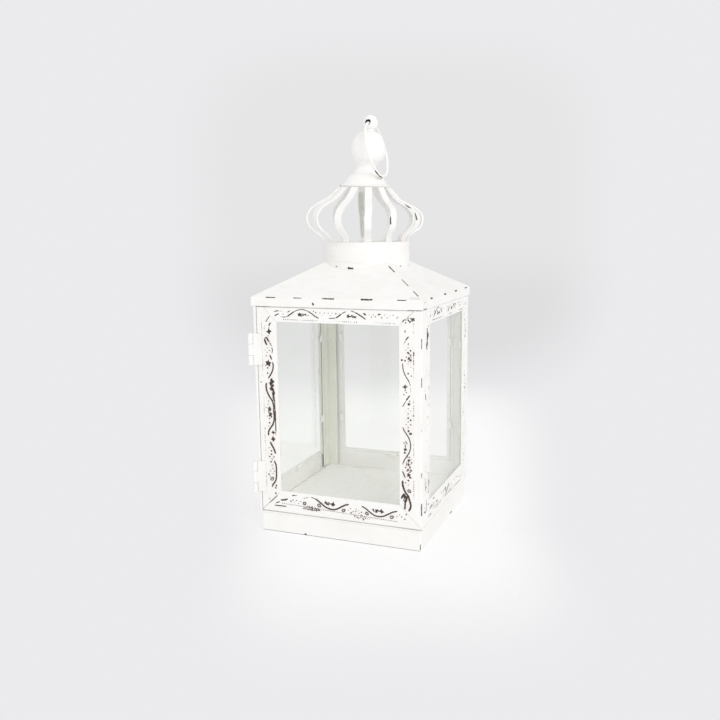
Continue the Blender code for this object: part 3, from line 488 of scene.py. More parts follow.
RIGHT_STILE = dict(lines=[
    (0.42, [(62.3, 202.3, 0.6), (64.5, 204.5, 0.8), (66.6, 204.2, 0.9)]),
    (0.58, [(68.3, 190.4, 0.95), (66.9, 188.8), (65.5, 187.1)]),
    (0.30, [(65.3, 186.6, 0.7), (63.5, 183, 0.45)]),
    (0.45, [(62.8, 167.4, 0.62), (63.1, 163, 0.8), (64.2, 159.1, 0.9), (66.1, 155.3, 0.95),
        (67.7, 153.1), (69.1, 150.1, 0.85)]),
    (0.35, [(69.1, 150.1, 0.65), (69.9, 146.5, 0.55), (69.8, 142.6, 0.55)]),
    (0.60, [(69.3, 139.9, 0.85), (67.2, 137.1), (65.8, 135, 0.95)]),
    (0.38, [(65.6, 134.6, 0.8), (64.2, 132.2, 0.8), (62.5, 129.2, 0.65)]),
    (0.50, [(62.8, 111.5, 0.65), (63.9, 108.7, 0.8), (65.8, 106, 0.85), (68, 102.7, 0.95),
        (69.3, 99.4), (69.8, 96.1, 0.9), (69.4, 92.2, 0.85), (68.3, 88.9, 0.8), (66.1, 85.6, 0.9),
        (64.5, 82.9, 0.75), (63.1, 80.1, 0.75), (62.8, 77.9, 0.55)]),
    (0.62, [(62.3, 72.2, 0.95), (63.4, 69.7), (64.9, 66.4)]),
    (0.90, [(62.5, 63.7, 0.95), (62.5, 59.8), (63.6, 56), (65.3, 52.7), (67.5, 49.9), (68.6, 46.6),
        (69.7, 42.8), (69.7, 40), (68, 36.2, 0.95)]),
    (0.90, [(64.1, 52), (62.3, 49.4), (61.2, 46.9)]),
    (0.80, [(64.9, 47), (64.7, 42.8), (64.5, 39), (64.2, 37.3)]),
    (0.60, [(65.2, 196), (65, 193.6)]), (0.50, [(68.1, 185, 0.95), (67.7, 183, 0.95)]),
    (0.60, [(72.7, 177.8, 0.85), (72.7, 173.5, 0.85)]),
    (0.40, [(72.7, 170.5, 0.6), (72.8, 167, 0.6)]), (0.50, [(65, 96.5), (65, 93.5)]),
], stars=[
    (72.3, 205, 1.7, 5, 0.75), (65, 147, 2.2, 4, 0.72), (68.3, 132.2, 1.5, 5, 0.8),
    (64.7, 48.8, 2.5, 5), (65, 91.7, 1.8, 5), (68, 69.2, 2, 5),
], dots=[
    (68, 204.2, 0.8, 0.8), (69.4, 202.8, 0.9, 0.75), (68, 206.1, 0.5, 0.9), (65.5, 202, 0.7, 0.8),
    (67.7, 180.8, 0.5, 0.85), (65.8, 178.9, 0.4, 0.6), (69.9, 178.4, 0.8, 0.8),
    (67.7, 176.2, 0.7, 0.75), (68.6, 171.8, 1.2, 0.9), (69.9, 170.1, 1.1, 0.85),
    (70.2, 174, 0.6, 0.7), (62.1, 170.1, 1, 0.9), (65, 169.6, 0.8, 0.65), (67.7, 166.8, 0.4, 0.7),
    (70.2, 164.3, 0.4, 0.7), (67.7, 158.6, 0.8, 0.8), (70.5, 156.7, 0.7, 0.7), (65, 143.7, 0.6),
    (66.1, 142.1, 0.6, 0.95), (63.9, 140.2, 0.7, 0.9), (69.1, 134.7, 0.6, 0.95),
    (67.7, 128.1, 0.5, 0.9), (69.9, 126.2, 0.4, 0.8), (67.6, 123.7, 0.6, 0.9),
    (65, 125.6, 0.35, 0.6), (67.7, 119.8, 0.85), (69.9, 118.2, 0.85, 0.95), (72.4, 122.3, 0.7, 0.7),
    (67.7, 116.6, 0.5, 0.85), (69.9, 114.2, 0.65, 0.9), (65.8, 114.1, 0.5, 0.85),
    (67.6, 111.5, 0.6, 0.9), (68, 108.4, 1), (63.9, 97.6, 0.7), (65.6, 98.6, 0.7),
    (66.4, 97.3, 0.7), (64.5, 88.9, 1.1), (68.8, 85.1, 0.7, 0.95), (68, 82.3, 1.1, 0.9),
    (70.2, 83.2, 0.6, 0.75), (68, 78.5, 1.1, 0.85), (70.8, 80.4, 0.8, 0.7), (65.3, 75.7, 0.7),
    (67.7, 73.8, 0.9, 0.8), (70.2, 73.5, 1.1, 0.7), (69.4, 67, 1.1), (67.7, 64.2, 0.9),
    (65.1, 61.9, 0.7), (67.5, 60.1, 0.5, 0.7), (69.4, 62, 0.3, 0.6), (65.5, 46.1, 1.2),
    (65.5, 32.9, 0.5, 0.6),
], loops=[
    (68.6, 54.6, 1.5, -30), (69.9, 106.2, 0.9, 0, 0.85),
], beads=[
    ((72.6, 34), (72.6, 202), 0.44),
], patches=[
    ((68.6, 173), (2.6, 5), 16, 0.5), ((68.2, 78), (2.4, 8), 26, 0.55),
    ((64.6, 47.5), (2.2, 3), 16, 0.8),
])
TOP_RAIL = dict(lines=[
    (0.45, [(-58.6, 208.2, 0.7), (-55.9, 208.8, 0.95), (-53.3, 209.1, 0.7)]),
    (0.55, [(-58.2, 204.3, 0.95), (-56, 205.4), (-53.7, 206.6, 0.95)]),
    (0.50, [(-45.2, 207.9, 0.95), (-43.8, 208.6), (-42.6, 209.5, 0.9)]),
    (0.35, [(-51.6, 203.8, 0.65), (-48.3, 203.5, 0.65), (-45.6, 204.1, 0.85)]),
    (0.62, [(-45.6, 204.1, 0.95), (-44, 205), (-41.7, 206.5), (-38.4, 208.7, 0.95)]),
    (0.38, [(-38.4, 208.7, 0.9), (-34.7, 210.1, 0.8), (-30.2, 210.8, 0.7), (-25.3, 209.5, 0.8)]),
    (0.50, [(-25.3, 209.5, 0.85), (-21.6, 207.5, 0.9), (-18.7, 205.4, 0.85), (-16.4, 204.2, 0.8),
        (-14.2, 203.4, 0.6)]),
    (0.32, [(-31, 205.4, 0.9), (-28.5, 205.6, 0.9)]),
    (0.35, [(-26.5, 205.2, 0.9), (-24, 205.6, 0.8)]),
    (0.35, [(-5.5, 203.5, 0.6), (-1.4, 203.8, 0.75), (1.9, 204.2, 0.9)]),
    (0.62, [(1.9, 204.2), (4.4, 205.8), (7.2, 207.9)]),
    (0.40, [(7.2, 207.9, 0.85), (9.5, 209.2, 0.75), (11.8, 210, 0.55)]),
    (0.38, [(15.9, 210.8, 0.65), (20, 209.5, 0.85)]),
    (0.58, [(20, 209.5, 0.9), (23.7, 207.5), (26.6, 205.8, 0.95), (29.5, 203.8, 0.8)]),
    (0.30, [(14.6, 205.8, 0.8), (17, 205.9, 0.8)]),
    (0.35, [(57, 205.4, 0.6), (58.3, 206.1, 0.65), (59.5, 207.1, 0.6)]),
    (0.90, [(17.6, 206), (19.3, 205.5), (20.8, 204.9)]),
    (0.85, [(27.4, 208.9), (28.6, 208.3), (30, 207.4)]),
    (0.70, [(40.7, 207.9), (42, 208.4), (43.4, 208.8, 0.95)]),
], stars=[
    (-32.9, 206.1, 2.1, 5), (-27.3, 206.3, 1.1, 4), (13.4, 206, 1.8, 5),
], dots=[
    (-52, 208.7, 0.35, 0.8), (-49.5, 206.3, 0.5, 0.9), (-50.4, 208.4, 0.3, 0.7),
    (-19.5, 209.5, 0.6, 0.7), (-17.4, 208.3, 0.7, 0.8), (-13.3, 208.1, 0.5, 0.9),
    (-9, 208.3, 0.5, 0.95), (-11.1, 206.1, 0.35, 0.8), (-5.3, 208.1, 0.5, 0.75),
    (-3.5, 206.1, 0.45, 0.9), (-1.6, 208.3, 0.4, 0.8), (1.9, 207.9, 0.75, 0.95),
    (5.2, 208.3, 0.35, 0.7), (32.8, 207.9, 0.35, 0.8), (35, 206, 0.55, 0.9),
    (36.7, 207.9, 0.5, 0.9), (38.4, 206.3, 0.6, 0.95), (44.3, 205.6, 0.65), (47.2, 208.1, 0.5, 0.7),
    (49.2, 205.8, 0.45, 0.9), (51.7, 207.5, 0.35, 0.8), (54.6, 207.9, 0.5, 0.75),
], loops=[
], beads=[
    ((-50, 201.4), (-34, 201.2), 0.85), ((-34, 201.2), (58, 201), 0.42),
], patches=[
    ((-31.5, 206), (3.4, 1.1), 10, 0.6), ((18, 206), (4, 1.1), 12, 0.6),
    ((69.5, 204.4), (3.6, 1.4), 10, 0.5),
])
BOTTOM_RAIL = dict(lines=[
    (0.65, [(-45.4, 37.5, 0.95), (-43.8, 37.7), (-42.3, 37.8, 0.95)]),
    (0.35, [(-42.3, 37.8, 0.9), (-40.1, 38.1, 0.7)]),
    (0.80, [(-57.4, 31.8, 0.85), (-54, 32.2, 0.9), (-51.5, 33, 0.95), (-50, 33.9, 0.9)]),
    (0.50, [(-62.7, 28.1, 0.7), (-60.5, 29.2, 0.8), (-58.2, 30.2, 0.75)]),
    (0.55, [(-64, 25.9, 0.65), (-57.5, 26.1, 0.8), (-51.6, 26.2, 0.6)]),
    (0.30, [(-34, 36, 0.6), (-31, 36.9, 0.7), (-28.5, 37.6, 0.6)]),
    (0.45, [(-26.1, 38, 0.8), (-22, 37.2, 0.95)]),
    (0.78, [(-22, 37.2, 0.95), (-19.1, 35.5), (-16.2, 33.5), (-12.1, 30.6), (-8, 29.2),
        (-3.9, 28.9), (0.2, 30.2), (3.5, 32.2), (7.2, 34.3), (9, 35, 0.9), (11.4, 35.6, 0.65)]),
    (0.66, [(23.7, 35.5, 0.65), (27.4, 33.9, 0.95), (31.5, 31), (35.6, 28.5), (39.8, 27.9),
        (43.9, 28.5), (48, 30.6), (52.1, 33), (55, 34.2, 0.85), (57.5, 34.9, 0.65)]),
    (0.35, [(-8.5, 33.8), (-5.5, 33.9)]), (0.35, [(38.8, 32.5), (41.5, 32.7)]),
    (0.35, [(-34.5, 26), (-29, 26.3), (-24, 26), (-19, 26.2), (-16.5, 26, 0.85)]),
    (0.30, [(-31.5, 26.2, 0.9), (-31, 28.8, 0.9)]), (0.30, [(-28.6, 26.2, 0.9), (-28, 29.4, 0.9)]),
    (0.32, [(-25.8, 26.2, 0.9), (-25.2, 29.6, 0.9)]),
    (0.30, [(-22.8, 26.2, 0.9), (-22.2, 28.8, 0.9)]),
], stars=[
    (-11.3, 34.7, 1.6, 5), (-9.4, 33.5, 1.3, 5), (-4, 33.9, 2.3, 4), (34.8, 33.5, 1.2, 5, 0.9),
    (37.7, 32.5, 1.5, 5), (42.6, 32.8, 2.3, 4),
], dots=[
    (-46.7, 31.8, 0.8, 0.8), (-44.6, 33.3, 0.7, 0.95), (-41, 33.3, 0.6, 0.9),
    (-39.1, 30.6, 0.5, 0.9), (-37.2, 32.6, 0.5, 0.9), (-42.9, 31.3, 0.4, 0.8),
    (10.9, 30.2, 0.45, 0.9), (13, 32, 0.55, 0.9), (13.4, 28.1, 0.8), (15.5, 29.3, 0.6, 0.95),
    (18.2, 32.2, 0.5, 0.9), (17.9, 29.8, 0.6, 0.95), (20.4, 31, 0.45, 0.9), (21.2, 28.5, 0.5, 0.9),
    (23.5, 29.8, 0.65, 0.95), (57, 30.2, 0.5, 0.8), (59.5, 31.8, 0.5, 0.8), (61.6, 30.2, 0.6, 0.8),
    (64.4, 28.5, 0.7, 0.8), (65.7, 33, 0.8, 0.6), (25.3, 23.2, 0.8, 0.7), (-30, 28.3, 0.7, 0.95),
    (-27.5, 28, 0.8), (-25.3, 29.3, 0.6, 0.95), (-24.8, 27.8, 0.8), (-22, 27.8, 0.7, 0.95),
    (-19.5, 27.9, 0.7, 0.9), (-33, 27.5, 0.6, 0.9), (17.5, 26, 0.5, 0.8), (19.6, 24.8, 0.5, 0.8),
    (20.8, 23.6, 0.5, 0.7),
], loops=[
    (-32.7, 31.4, 1.6, 35), (-17.9, 31, 1.7, -35), (6.2, 29.5, 1.6, 35),
    (28.8, 29.2, 1.5, -35, 0.9), (52.3, 28.9, 1.6, 35),
], beads=[
    ((-56.5, 28.9), (57.9, 25.2), 0.92), ((16, 24.6), (32, 24.4), 0.80),
], patches=[
    ((-25.5, 26.6), (9.5, 1.5), 26, 0.50), ((-26, 28.4), (6, 1), 10, 0.42),
    ((-8.5, 33.9), (4.2, 1.3), 14, 0.7), ((38.5, 32.8), (4.4, 1.3), 14, 0.7),
    ((22, 25.4), (6, 2), 18, 0.45),
])

# The strips of a wall and how the walls stand, in the order that sets the random seeds
PATTERNS = {
    "bottom_rail": BOTTOM_RAIL,
    "left_stile": LEFT_STILE,
    "right_stile": RIGHT_STILE,
    "top_rail": TOP_RAIL,
}
TURNS_DEG = {"back_wall": 180, "door": 0, "left_wall": -90, "right_wall": 90}

# How the walls' strips are worn: share of the door's wear, and zones of more wear as (place along
# the strip, half width, extra). On their wider stiles the pattern moves towards the middle.
WALL_WEAR = {
    "back_wall": {
        "bottom_rail": (0.70, (-20, 20, 0.3)),
        "left_stile": (0.62, (60, 25, 0.35), (170, 12, -0.2)),
        "right_stile": (0.66, (150, 25, 0.3)),
        "top_rail": (0.60, (20, 20, 0.35)),
    },
    "left_wall": {
        "bottom_rail": (0.64, (30, 20, 0.35)),
        "left_stile": (0.70, (110, 30, 0.25)),
        "right_stile": (0.60, (70, 25, 0.35)),
        "top_rail": (0.66, (-40, 15, 0.3)),
    },
    "right_wall": {
        "bottom_rail": (0.40, (-50, 10, 0.5), (4, 14, 0.2)),
        "left_stile": (0.32, (187, 9, 0.45), (58, 10, 0.35), (37, 6, 0.3)),
        "right_stile": (0.38, (180, 10, 0.3), (120, 12, 0.3)),
        "top_rail": (0.50, (-33, 14, 0.22), (12, 12, 0.16), (50, 12, 0.14)),
    },
}
WALL_SHIFT = 1.5


class Relief:
    """Low relief on a strip, built flat as (x, z, rise) in mm, with wear kept per vertex."""

    def __init__(self):
        self.verts = []
        self.faces = []
        self.wear = []

    def dome(self, x, z, start, reach, shoulder, rise, wear):
        """A closed low dome on an uneven outline, whose reach is given for each direction."""
        count, low = len(reach), len(self.verts)
        high, top = low + count, low + 2 * count
        for share, up in ((1.0, -SUNK), shoulder):
            for r, turn in zip(reach, turns(count)):
                across, along = math.cos(start + turn), math.sin(start + turn)
                self.verts.append((x + share * r * across, z + share * r * along, up))
        self.verts.append((x, z, rise))
        self.wear += [wear] * (2 * count + 1)
        sides = [(i, (i + 1) % count) for i in range(count)]
        self.faces.append(tuple(reversed(range(low, high))))
        self.faces += [(low + i, low + j, high + j, high + i) for i, j in sides]
        self.faces += [(high + i, high + j, top) for i, j in sides]

    def dot(self, x, z, size, wear, rng, steps=7):
        """A small, slightly uneven dome."""
        rise = RELIEF * clamp(size / DOT_FULL, 0.5, 1.0)
        start = rng.uniform(*ANY_ANGLE)
        reach = [size * rng.uniform(0.82, 1.14) for _ in range(steps)]
        self.dome(x, z, start, reach, (0.84, 0.6 * rise), rise, wear)

    def star(self, x, z, size, wear, points, rng):
        """A small open flower or star with a raised middle."""
        rise = RELIEF * 1.1
        start = math.pi / 2 + rng.uniform(-0.25, 0.25)
        reach = [size * share * rng.uniform(0.82, 1.12) for share in (1.15, 0.62) * points]
        self.dome(x, z, start, reach, (0.80, 0.65 * rise), rise, wear)

    def stroke(self, path, half_width, closed=False):
        """A raised line through (x, z, wear, width share) points, rounded and closed below."""
        count, first = len(path), len(self.verts)
        rise = RELIEF * clamp(half_width / LINE_FULL, 0.6, 1.1)
        shoulder = 0.62 * rise
        section = ((-1.0, -SUNK), (-0.74, shoulder), (0.0, rise), (0.74, shoulder), (1.0, -SUNK))
        for i, (x, z, wear, share) in enumerate(path):
            before = path[(i - 1) % count if closed else max(i - 1, 0)]
            after = path[(i + 1) % count if closed else min(i + 1, count - 1)]
            dx, dz = after[0] - before[0], after[1] - before[1]
            length = math.hypot(dx, dz) or 1.0
            nx, nz = -dz / length, dx / length
            for side, up in section:
                reach = side * half_width * share
                self.verts.append((x + nx * reach, z + nz * reach, up if up < 0 else up * share))
                self.wear.append(wear)
        self.faces += tube_faces(count, len(section), closed, first)

    def line(self, half_width, points, rng):
        """A smooth stroke through a few points, thin at its ends and a little uneven."""
        path = []
        for i in range(len(points) - 1):
            p0, p1, p2 = points[max(i - 1, 0)], points[i], points[i + 1]
            p3 = points[min(i + 2, len(points) - 1)]
            steps = max(2, round(math.hypot(p2[0] - p1[0], p2[1] - p1[1]) / LINE_STEP))
            for k in range(steps + (i == len(points) - 2)):
                t = k / steps
                x, z = (
                    0.5 * (2 * b + (c - a) * t + (2 * a - 5 * b + 4 * c - d) * t * t
                           + (3 * b - a - 3 * c + d) * t ** 3)
                    for a, b, c, d in zip(p0[:2], p1[:2], p2[:2], p3[:2])
                )
                path.append((x, z, p1[2] + (p2[2] - p1[2]) * t))
        phase = rng.uniform(*ANY_ANGLE)
        shaped = []
        for i, (x, z, wear) in enumerate(path):
            end = min(i, len(path) - 1 - i)
            share = min(1.0, 0.45 + 0.3 * end) * (1.0 + 0.13 * math.sin(1.9 * i + phase))
            shaped.append((x, z, wear, share))
        self.stroke(shaped, half_width)

    def loop(self, x, z, size, wear, turn_deg, rng):
        """A drop-shaped bud: a ring with a dot in it."""
        turn = math.radians(turn_deg)
        path = []
        for angle in turns(LOOP_STEPS):
            a = size * math.cos(angle)
            b = 0.72 * size * math.sin(angle) * (1.0 - 0.35 * math.cos(angle))
            path.append((
                x + a * math.cos(turn) - b * math.sin(turn),
                z + a * math.sin(turn) + b * math.cos(turn),
                wear * rng.uniform(0.86, 1.0),
                rng.uniform(0.85, 1.2),
            ))
        self.stroke(path, LOOP_LINE, closed=True)
        self.dot(x, z, LOOP_DOT, wear * 0.7, rng, steps=6)

    def bead_line(self, start, end, wear, rng):
        """A row of small dots, rubbed here and there."""
        length = math.hypot(end[0] - start[0], end[1] - start[1])
        count = int(length / BEAD_PITCH)
        phase = rng.uniform(*ANY_ANGLE)
        for i in range(count):
            share = (i + 0.5) / count
            x = start[0] + (end[0] - start[0]) * share
            z = start[1] + (end[1] - start[1]) * share
            rubbed = wear + 0.22 * math.sin(0.31 * i + phase) + rng.uniform(-0.12, 0.12)
            self.dot(x, z, BEAD_SIZE, clamp(rubbed), rng, steps=5)


def build_relief(pattern, shift, wear, upright, seed):
    """One strip's ornament, moved and worn as asked."""
    rng = random.Random(seed)
    relief = Relief()
    share, *zones = wear
    push = -math.copysign(shift, pattern["lines"][0][1][0][0]) if upright else 0.0

    def worn(x, z, wear=1.0):
        at = z if upright else x
        more = sum(extra * math.exp(-(((at - place) / half) ** 2)) for place, half, extra in zones)
        slack = 0.0 if share == 1.0 else rng.uniform(-0.14, 0.14)
        return clamp(wear * (share + more) + slack)

    for half_width, points in pattern["lines"]:
        path = [(x + push, z, worn(x, z, *wear)) for x, z, *wear in points]
        relief.line(half_width, path, rng)
    for x, z, size, points, *wear in pattern["stars"]:
        relief.star(x + push, z, size, worn(x, z, *wear), points, rng)
    for x, z, size, *wear in pattern["dots"]:
        relief.dot(x + push, z, size, worn(x, z, *wear), rng)
    for x, z, size, turn, *wear in pattern["loops"]:
        relief.loop(x + push, z, size, worn(x, z, *wear), turn, rng)
    for (x, z), (half_x, half_z), count, size in pattern["patches"]:
        for _ in range(count):
            angle, reach = rng.uniform(*ANY_ANGLE), math.sqrt(rng.random())
            u, v = x + half_x * reach * math.cos(angle), z + half_z * reach * math.sin(angle)
            grain = size * rng.uniform(0.55, 1.2)
            relief.dot(u + push, v, grain, worn(u, v, rng.uniform(0.8, 1.0)), rng, steps=6)
    for start, end, wear in pattern["beads"]:
        moved = [(x + push, z) for x, z in (start, end)]
        relief.bead_line(*moved, worn(*start, wear), rng)
    return relief


def add_piece(name, verts, faces, mat, body):
    mesh = bpy.data.meshes.new(name)
    mesh.from_pydata(verts, [], faces)
    mesh.materials.append(mat)
    bm = bmesh.new()
    bm.from_mesh(mesh)
    bmesh.ops.recalc_face_normals(bm, faces=bm.faces)
    for face in bm.faces:
        face.smooth = len(face.verts) < 5
    bm.to_mesh(mesh)
    bm.free()
    obj = new_object(name, mesh)
    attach(obj, body)
    return obj


def make_ornament():
    mat = paint("ornament_paint", flecks=0.0, worn_attribute="worn")
    strips = [(wall, strip) for wall in TURNS_DEG for strip in PATTERNS]
    for seed, (wall, strip) in enumerate(strips, FIRST_SEED):
        turn = Matrix.Rotation(math.radians(TURNS_DEG[wall]), 4, "Z")
        upright = strip.endswith("stile")
        wear = WALL_WEAR[wall][strip] if wall in WALL_WEAR else (1.0,)
        shift = WALL_SHIFT if upright and wall in WALL_WEAR else 0.0
        relief = build_relief(PATTERNS[strip], shift, wear, upright, seed)
        verts = [turn @ Vector(metres((x, -BODY_HALF - rise, z))) for x, z, rise in relief.verts]
        body = "door" if wall == "door" else "lantern"
        obj = add_piece(f"{wall}_{strip}_relief", verts, relief.faces, mat, body)
        attribute = obj.data.attributes.new("worn", "FLOAT", "POINT")
        attribute.data.foreach_set("value", relief.wear)


def paint_bead(name, path, radius, mat):
    """A slightly uneven round bead of paint along a closed path."""
    rng = random.Random(len(path))
    middle = sum(path, Vector()) / len(path)
    verts = []
    for i, point in enumerate(path):
        out = (point - middle).normalized()
        along = (path[(i + 1) % len(path)] - path[i - 1]).normalized()
        up = out.cross(along).normalized()
        size = radius * rng.uniform(0.94, 1.06)
        for turn in turns(BEAD_SIDES):
            verts.append(point + out * (size * math.cos(turn)) + up * (size * math.sin(turn)))
    faces = tube_faces(len(path), BEAD_SIDES, closed=True)
    add_piece(name, verts, faces, mat, "lantern")


def make_foot_bead(bulb, mat):
    """The bead of paint that fills the seam between the finial's foot and the cap."""
    points = [v.co for v in bulb.data.vertices]
    lowest = min(co.z for co in points)
    foot = [co for co in points if co.z < lowest + FOOT_BAND and co.xy.length > FOOT_INSIDE]
    middle = sum(foot, Vector()) / len(foot)

    def seat_towards(angle):
        """The foot's lowest point in a direction."""
        ray = Vector((math.cos(angle), math.sin(angle)))
        return max(foot, key=lambda co: (co.xy - middle.xy).normalized().dot(ray)
                   - FOOT_LOW_WEIGHT * (co.z - lowest))

    seat = [seat_towards(angle) for angle in turns(FOOT_STEPS)]
    path = []
    for i in range(FOOT_STEPS):
        near = [seat[(i + k) % FOOT_STEPS] for k in (-2, -1, 0, 1, 2)]
        path.append(sum(near, Vector()) / len(near))
    paint_bead("finial_foot_paint_bead", path, FOOT_BEAD, mat)


def make_neck_bead(mat):
    """The paint that rounds off the corner between the bulb and the ball."""
    axis = (Vector(BALL_CENTRE) - Vector(BULB_SEAT)).normalized()
    middle = Vector(BALL_CENTRE) - axis * BALL_DROP
    side = Vector((0, 1, 0))
    other = axis.cross(side)
    path = [
        middle + (side * math.cos(turn) + other * math.sin(turn)) * NECK_RADIUS
        for turn in turns(NECK_STEPS)
    ]
    paint_bead("finial_neck_paint_bead", path, NECK_BEAD, mat)


def make_collar_bead(mat):
    """The paint along the collar's foot, which runs up and down with the roof's slopes."""
    path = []
    for angle in turns(COLLAR_STEPS):
        x, y = COLLAR_RADIUS * math.cos(angle), COLLAR_RADIUS * math.sin(angle)
        z = EAVE_TOP + (EAVE_HALF - max(abs(x), abs(y))) * ROOF_SLOPE
        path.append(Vector((x, y, z + COLLAR_LIFT)))
    paint_bead("collar_foot_paint_bead", path, COLLAR_BEAD, mat)


def make_floor_lip(mat):
    """The rolled lip around the floor plate."""
    low, high = -FLOOR_LIP, FLOOR_LIP
    corners = [(low, low), (high, low), (high, high), (low, high)]
    path = []
    for (x0, y0), (x1, y1) in zip(corners, corners[1:] + corners[:1]):
        for i in range(FLOOR_LIP_STEPS):
            x, y = x0 + (x1 - x0) * i / FLOOR_LIP_STEPS, y0 + (y1 - y0) * i / FLOOR_LIP_STEPS
            path.append(Vector((x, y, FLOOR_LIP_HEIGHT)))
    paint_bead("floor_plate_lip", path, FLOOR_LIP_BEAD, mat)


def make_putty(mat):
    """A slightly uneven fillet along the inner edge of each post, where it holds a pane."""
    rng = random.Random(PUTTY_SEED)
    low, high = PUTTY_HEIGHTS
    back = PUTTY_EDGE + PUTTY_LIP
    for wall in ("right_wall", "left_wall"):
        turn = Matrix.Rotation(math.radians(TURNS_DEG[wall]), 4, "Z")
        for side, label in ((-1, "left"), (1, "right")):
            verts = []
            for i in range(PUTTY_STEPS + 1):
                z = low + (high - low) * i / PUTTY_STEPS
                reach = PUTTY_REACH * rng.uniform(0.92, 1.06)
                depth = PUTTY_DEPTH * rng.uniform(0.90, 1.04)
                front, hollow = PUTTY_EDGE - reach, (PUTTY_EDGE - 0.45 * reach, 0.42 * depth)
                section = ((back, 0.0), (front, 0.0), (front, PUTTY_LIP), hollow, (back, depth))
                points = [(side * x, PUTTY_FACE + up, z) for x, up in section]
                verts += [turn @ Vector(metres(point)) for point in points]
            faces = tube_faces(PUTTY_STEPS + 1, len(section), closed=False)
            add_piece(f"{wall}_{label}_putty", verts, faces, mat, "lantern")


# Rubbed and stained marks, and painted shade, that the photograph shows: start, end and radius, in
# mm


def facing_y(y, *rows):
    """Marks on a plane of one y, from rows of x, z, x, z and radius."""
    return [((x0, y, z0), (x1, y, z1), radius) for x0, z0, x1, z1, radius in rows]


def facing_x(x, *rows):
    """Marks on a plane of one x, from rows of y, z, y, z and radius."""
    return [((x, y0, z0), (x, y1, z1), radius) for y0, z0, y1, z1, radius in rows]


EAVE = 81.1
ROOF_MARKS = [
    *facing_y(
        -EAVE, (-65.4, 221, -56.4, 221, 0.55), (-38.1, 221, -30.7, 221, 0.55),
        (-10, 221, 0.2, 221, 0.75), (26.5, 221, 35.5, 221, 0.9),
        (59.1, 221.1, 66.1, 221.1, 0.6), (-19.5, 216.2, -19, 215.4, 0.8)),
    *facing_x(
        EAVE, (-57.5, 221, -53, 221, 0.9), (-15, 221, -9, 221, 0.9),
        (23, 221, 30, 221, 0.8), (62, 221, 69, 221, 0.8)),
    ((35.6, -35.6, 246.9), (43.4, -43.4, 242.4), 0.75),
    ((54, -54, 236.4), (62.3, -62.3, 231.7), 0.5),
    ((69.4, -69.4, 227.6), (75.2, -75.2, 224.3), 0.6),
    ((-78, 30, 222.6), (-80.9, 34, 221), 0.7),
    *facing_x(EAVE, (-79.5, 213.4, -70, 213.2, 0.35)),
    *facing_y(80.9, (22, 221.1, 31, 221.1, 0.8), (-44, 221.1, -35, 221.1, 0.8)),
    *facing_x(-EAVE, (-20, 221.1, -11, 221.1, 0.8)),
]
ROOF_STAINS = [
    ((70, -78, 222.6), (77, -79, 222), 1.6),
    *facing_x(EAVE, (-78, 219, -72, 219, 1.2)),
]
COLLAR_MARKS = [
    ((-1.5, -41, 245.3), (2.6, -41, 244.9), 0.9),
    ((-15.2, -38.1, 246.6), (0, -41, 244.9), 0.32),
    ((38.6, -13.8, 245.9), (40.4, 7, 246.6), 0.45),
    ((-40.9, 3, 256), (-40.8, 4.5, 258), 0.5),
]
RIB_MARKS = [
    ((37.9, -38.8, 290.6), (38.2, -38.5, 284.5), 0.8),
    ((32.2, -33.5, 302.4), (33.4, -34.2, 301.2), 0.8),
    ((36, 13, 303.4), (48, 14.5, 297), 0.9),
    ((40, -4, 302.4), (46.7, -6.6, 298.5), 0.7),
    ((38, 2, 304), (48.5, 1, 298.6), 0.8),
    ((51, -7.6, 294), (53, -8.4, 288), 0.55),
    ((-52, 9, 296), (-53.5, 9.5, 291), 0.6),
]
# Painted shade: a darker green-grey down the inner face of a back rib, inside the crown
BACK_RIB_PAINTED_SHADE = [
    ((-15.8, 27.1, 312.9), (-23.2, 47, 298.9), 5),
    ((-23.2, 47, 298.9), (-23.5, 47.1, 284), 5),
    ((-23.5, 47.1, 284), (-19.4, 36.5, 274.1), 5),
]
CAP_MARKS = [
    ((-19.4, -14.8, 320.4), (-18.9, -16, 320.3), 0.6),
    ((20.5, 12, 319.6), (22, 9, 319.3), 0.7),
]
CAP_STAINS = [((14, -9.5, 326.2), (18.5, -2, 325.2), 1.1)]
RING_MARKS = [
    ((15.6, -17.3, 332.3), (16.6, -10.4, 329.2), 0.75),
    ((16.6, -10.4, 329.2), (17.4, -1.5, 326.2), 0.75),
]
# Painted shade: a dark ring round the bore through the ball, which makes the hole's dark mouth
# wider
BALL_HOLE_SHADE = facing_x(5.64, (-8, 376.9, 8, 376.9, 2.55))
TRAY_MARKS = [
    *facing_y(-78.5, (-33.4, 0.9, -32.9, 0.4, 0.8)),
    ((78.1, -78.4, 5.9), (78.2, -78.4, 1.4), 0.45),
    *facing_y(-78.5, (-78, 0.1, 78, 0.1, 0.24)),
    *facing_x(78.5, (20, 0.6, 26, 0.3, 0.7)),
    *facing_x(-78.4, (12, 17.6, 20, 17.9, 0.5)),
    *facing_y(78.4, (-20, 17.6, -12, 17.9, 0.5)),
]
DOOR_MARKS = [
    *facing_y(
        -79.9, (79.8, 188.6, 79.8, 180.4, 0.42), (79.8, 155, 79.8, 147.5, 0.36),
        (79.9, 115, 79.9, 108.5, 0.28), (79.8, 71.5, 79.8, 67.5, 0.36),
        (79.7, 44, 79.7, 34, 0.58)),
    *facing_y(-80, (-60, 118, -60, 98, 0.30)),
]
DOOR_STAINS = facing_y(
    -80, (-66, 180, -64, 150, 4.5), (-65, 140, -65, 88, 5),
    (-66, 78, -64, 48, 4.5), (68, 178, 68.5, 168, 5),
    (68, 122, 67, 64, 4.5), (66, 56, 66.5, 40, 4.5),
    (-34, 28.5, -12, 30, 4.5), (18, 27, 54, 29.5, 4))
WALL_MARKS = facing_x(
    80, (-64.9, 195, -64.5, 182, 1.2), (-69.4, 139, -69.3, 135.4, 1.2),
    (-70.4, 64, -69.2, 53, 0.7), (-66.4, 43, -66.3, 34, 0.6),
    (-72.5, 34.2, -70, 33.2, 0.8))
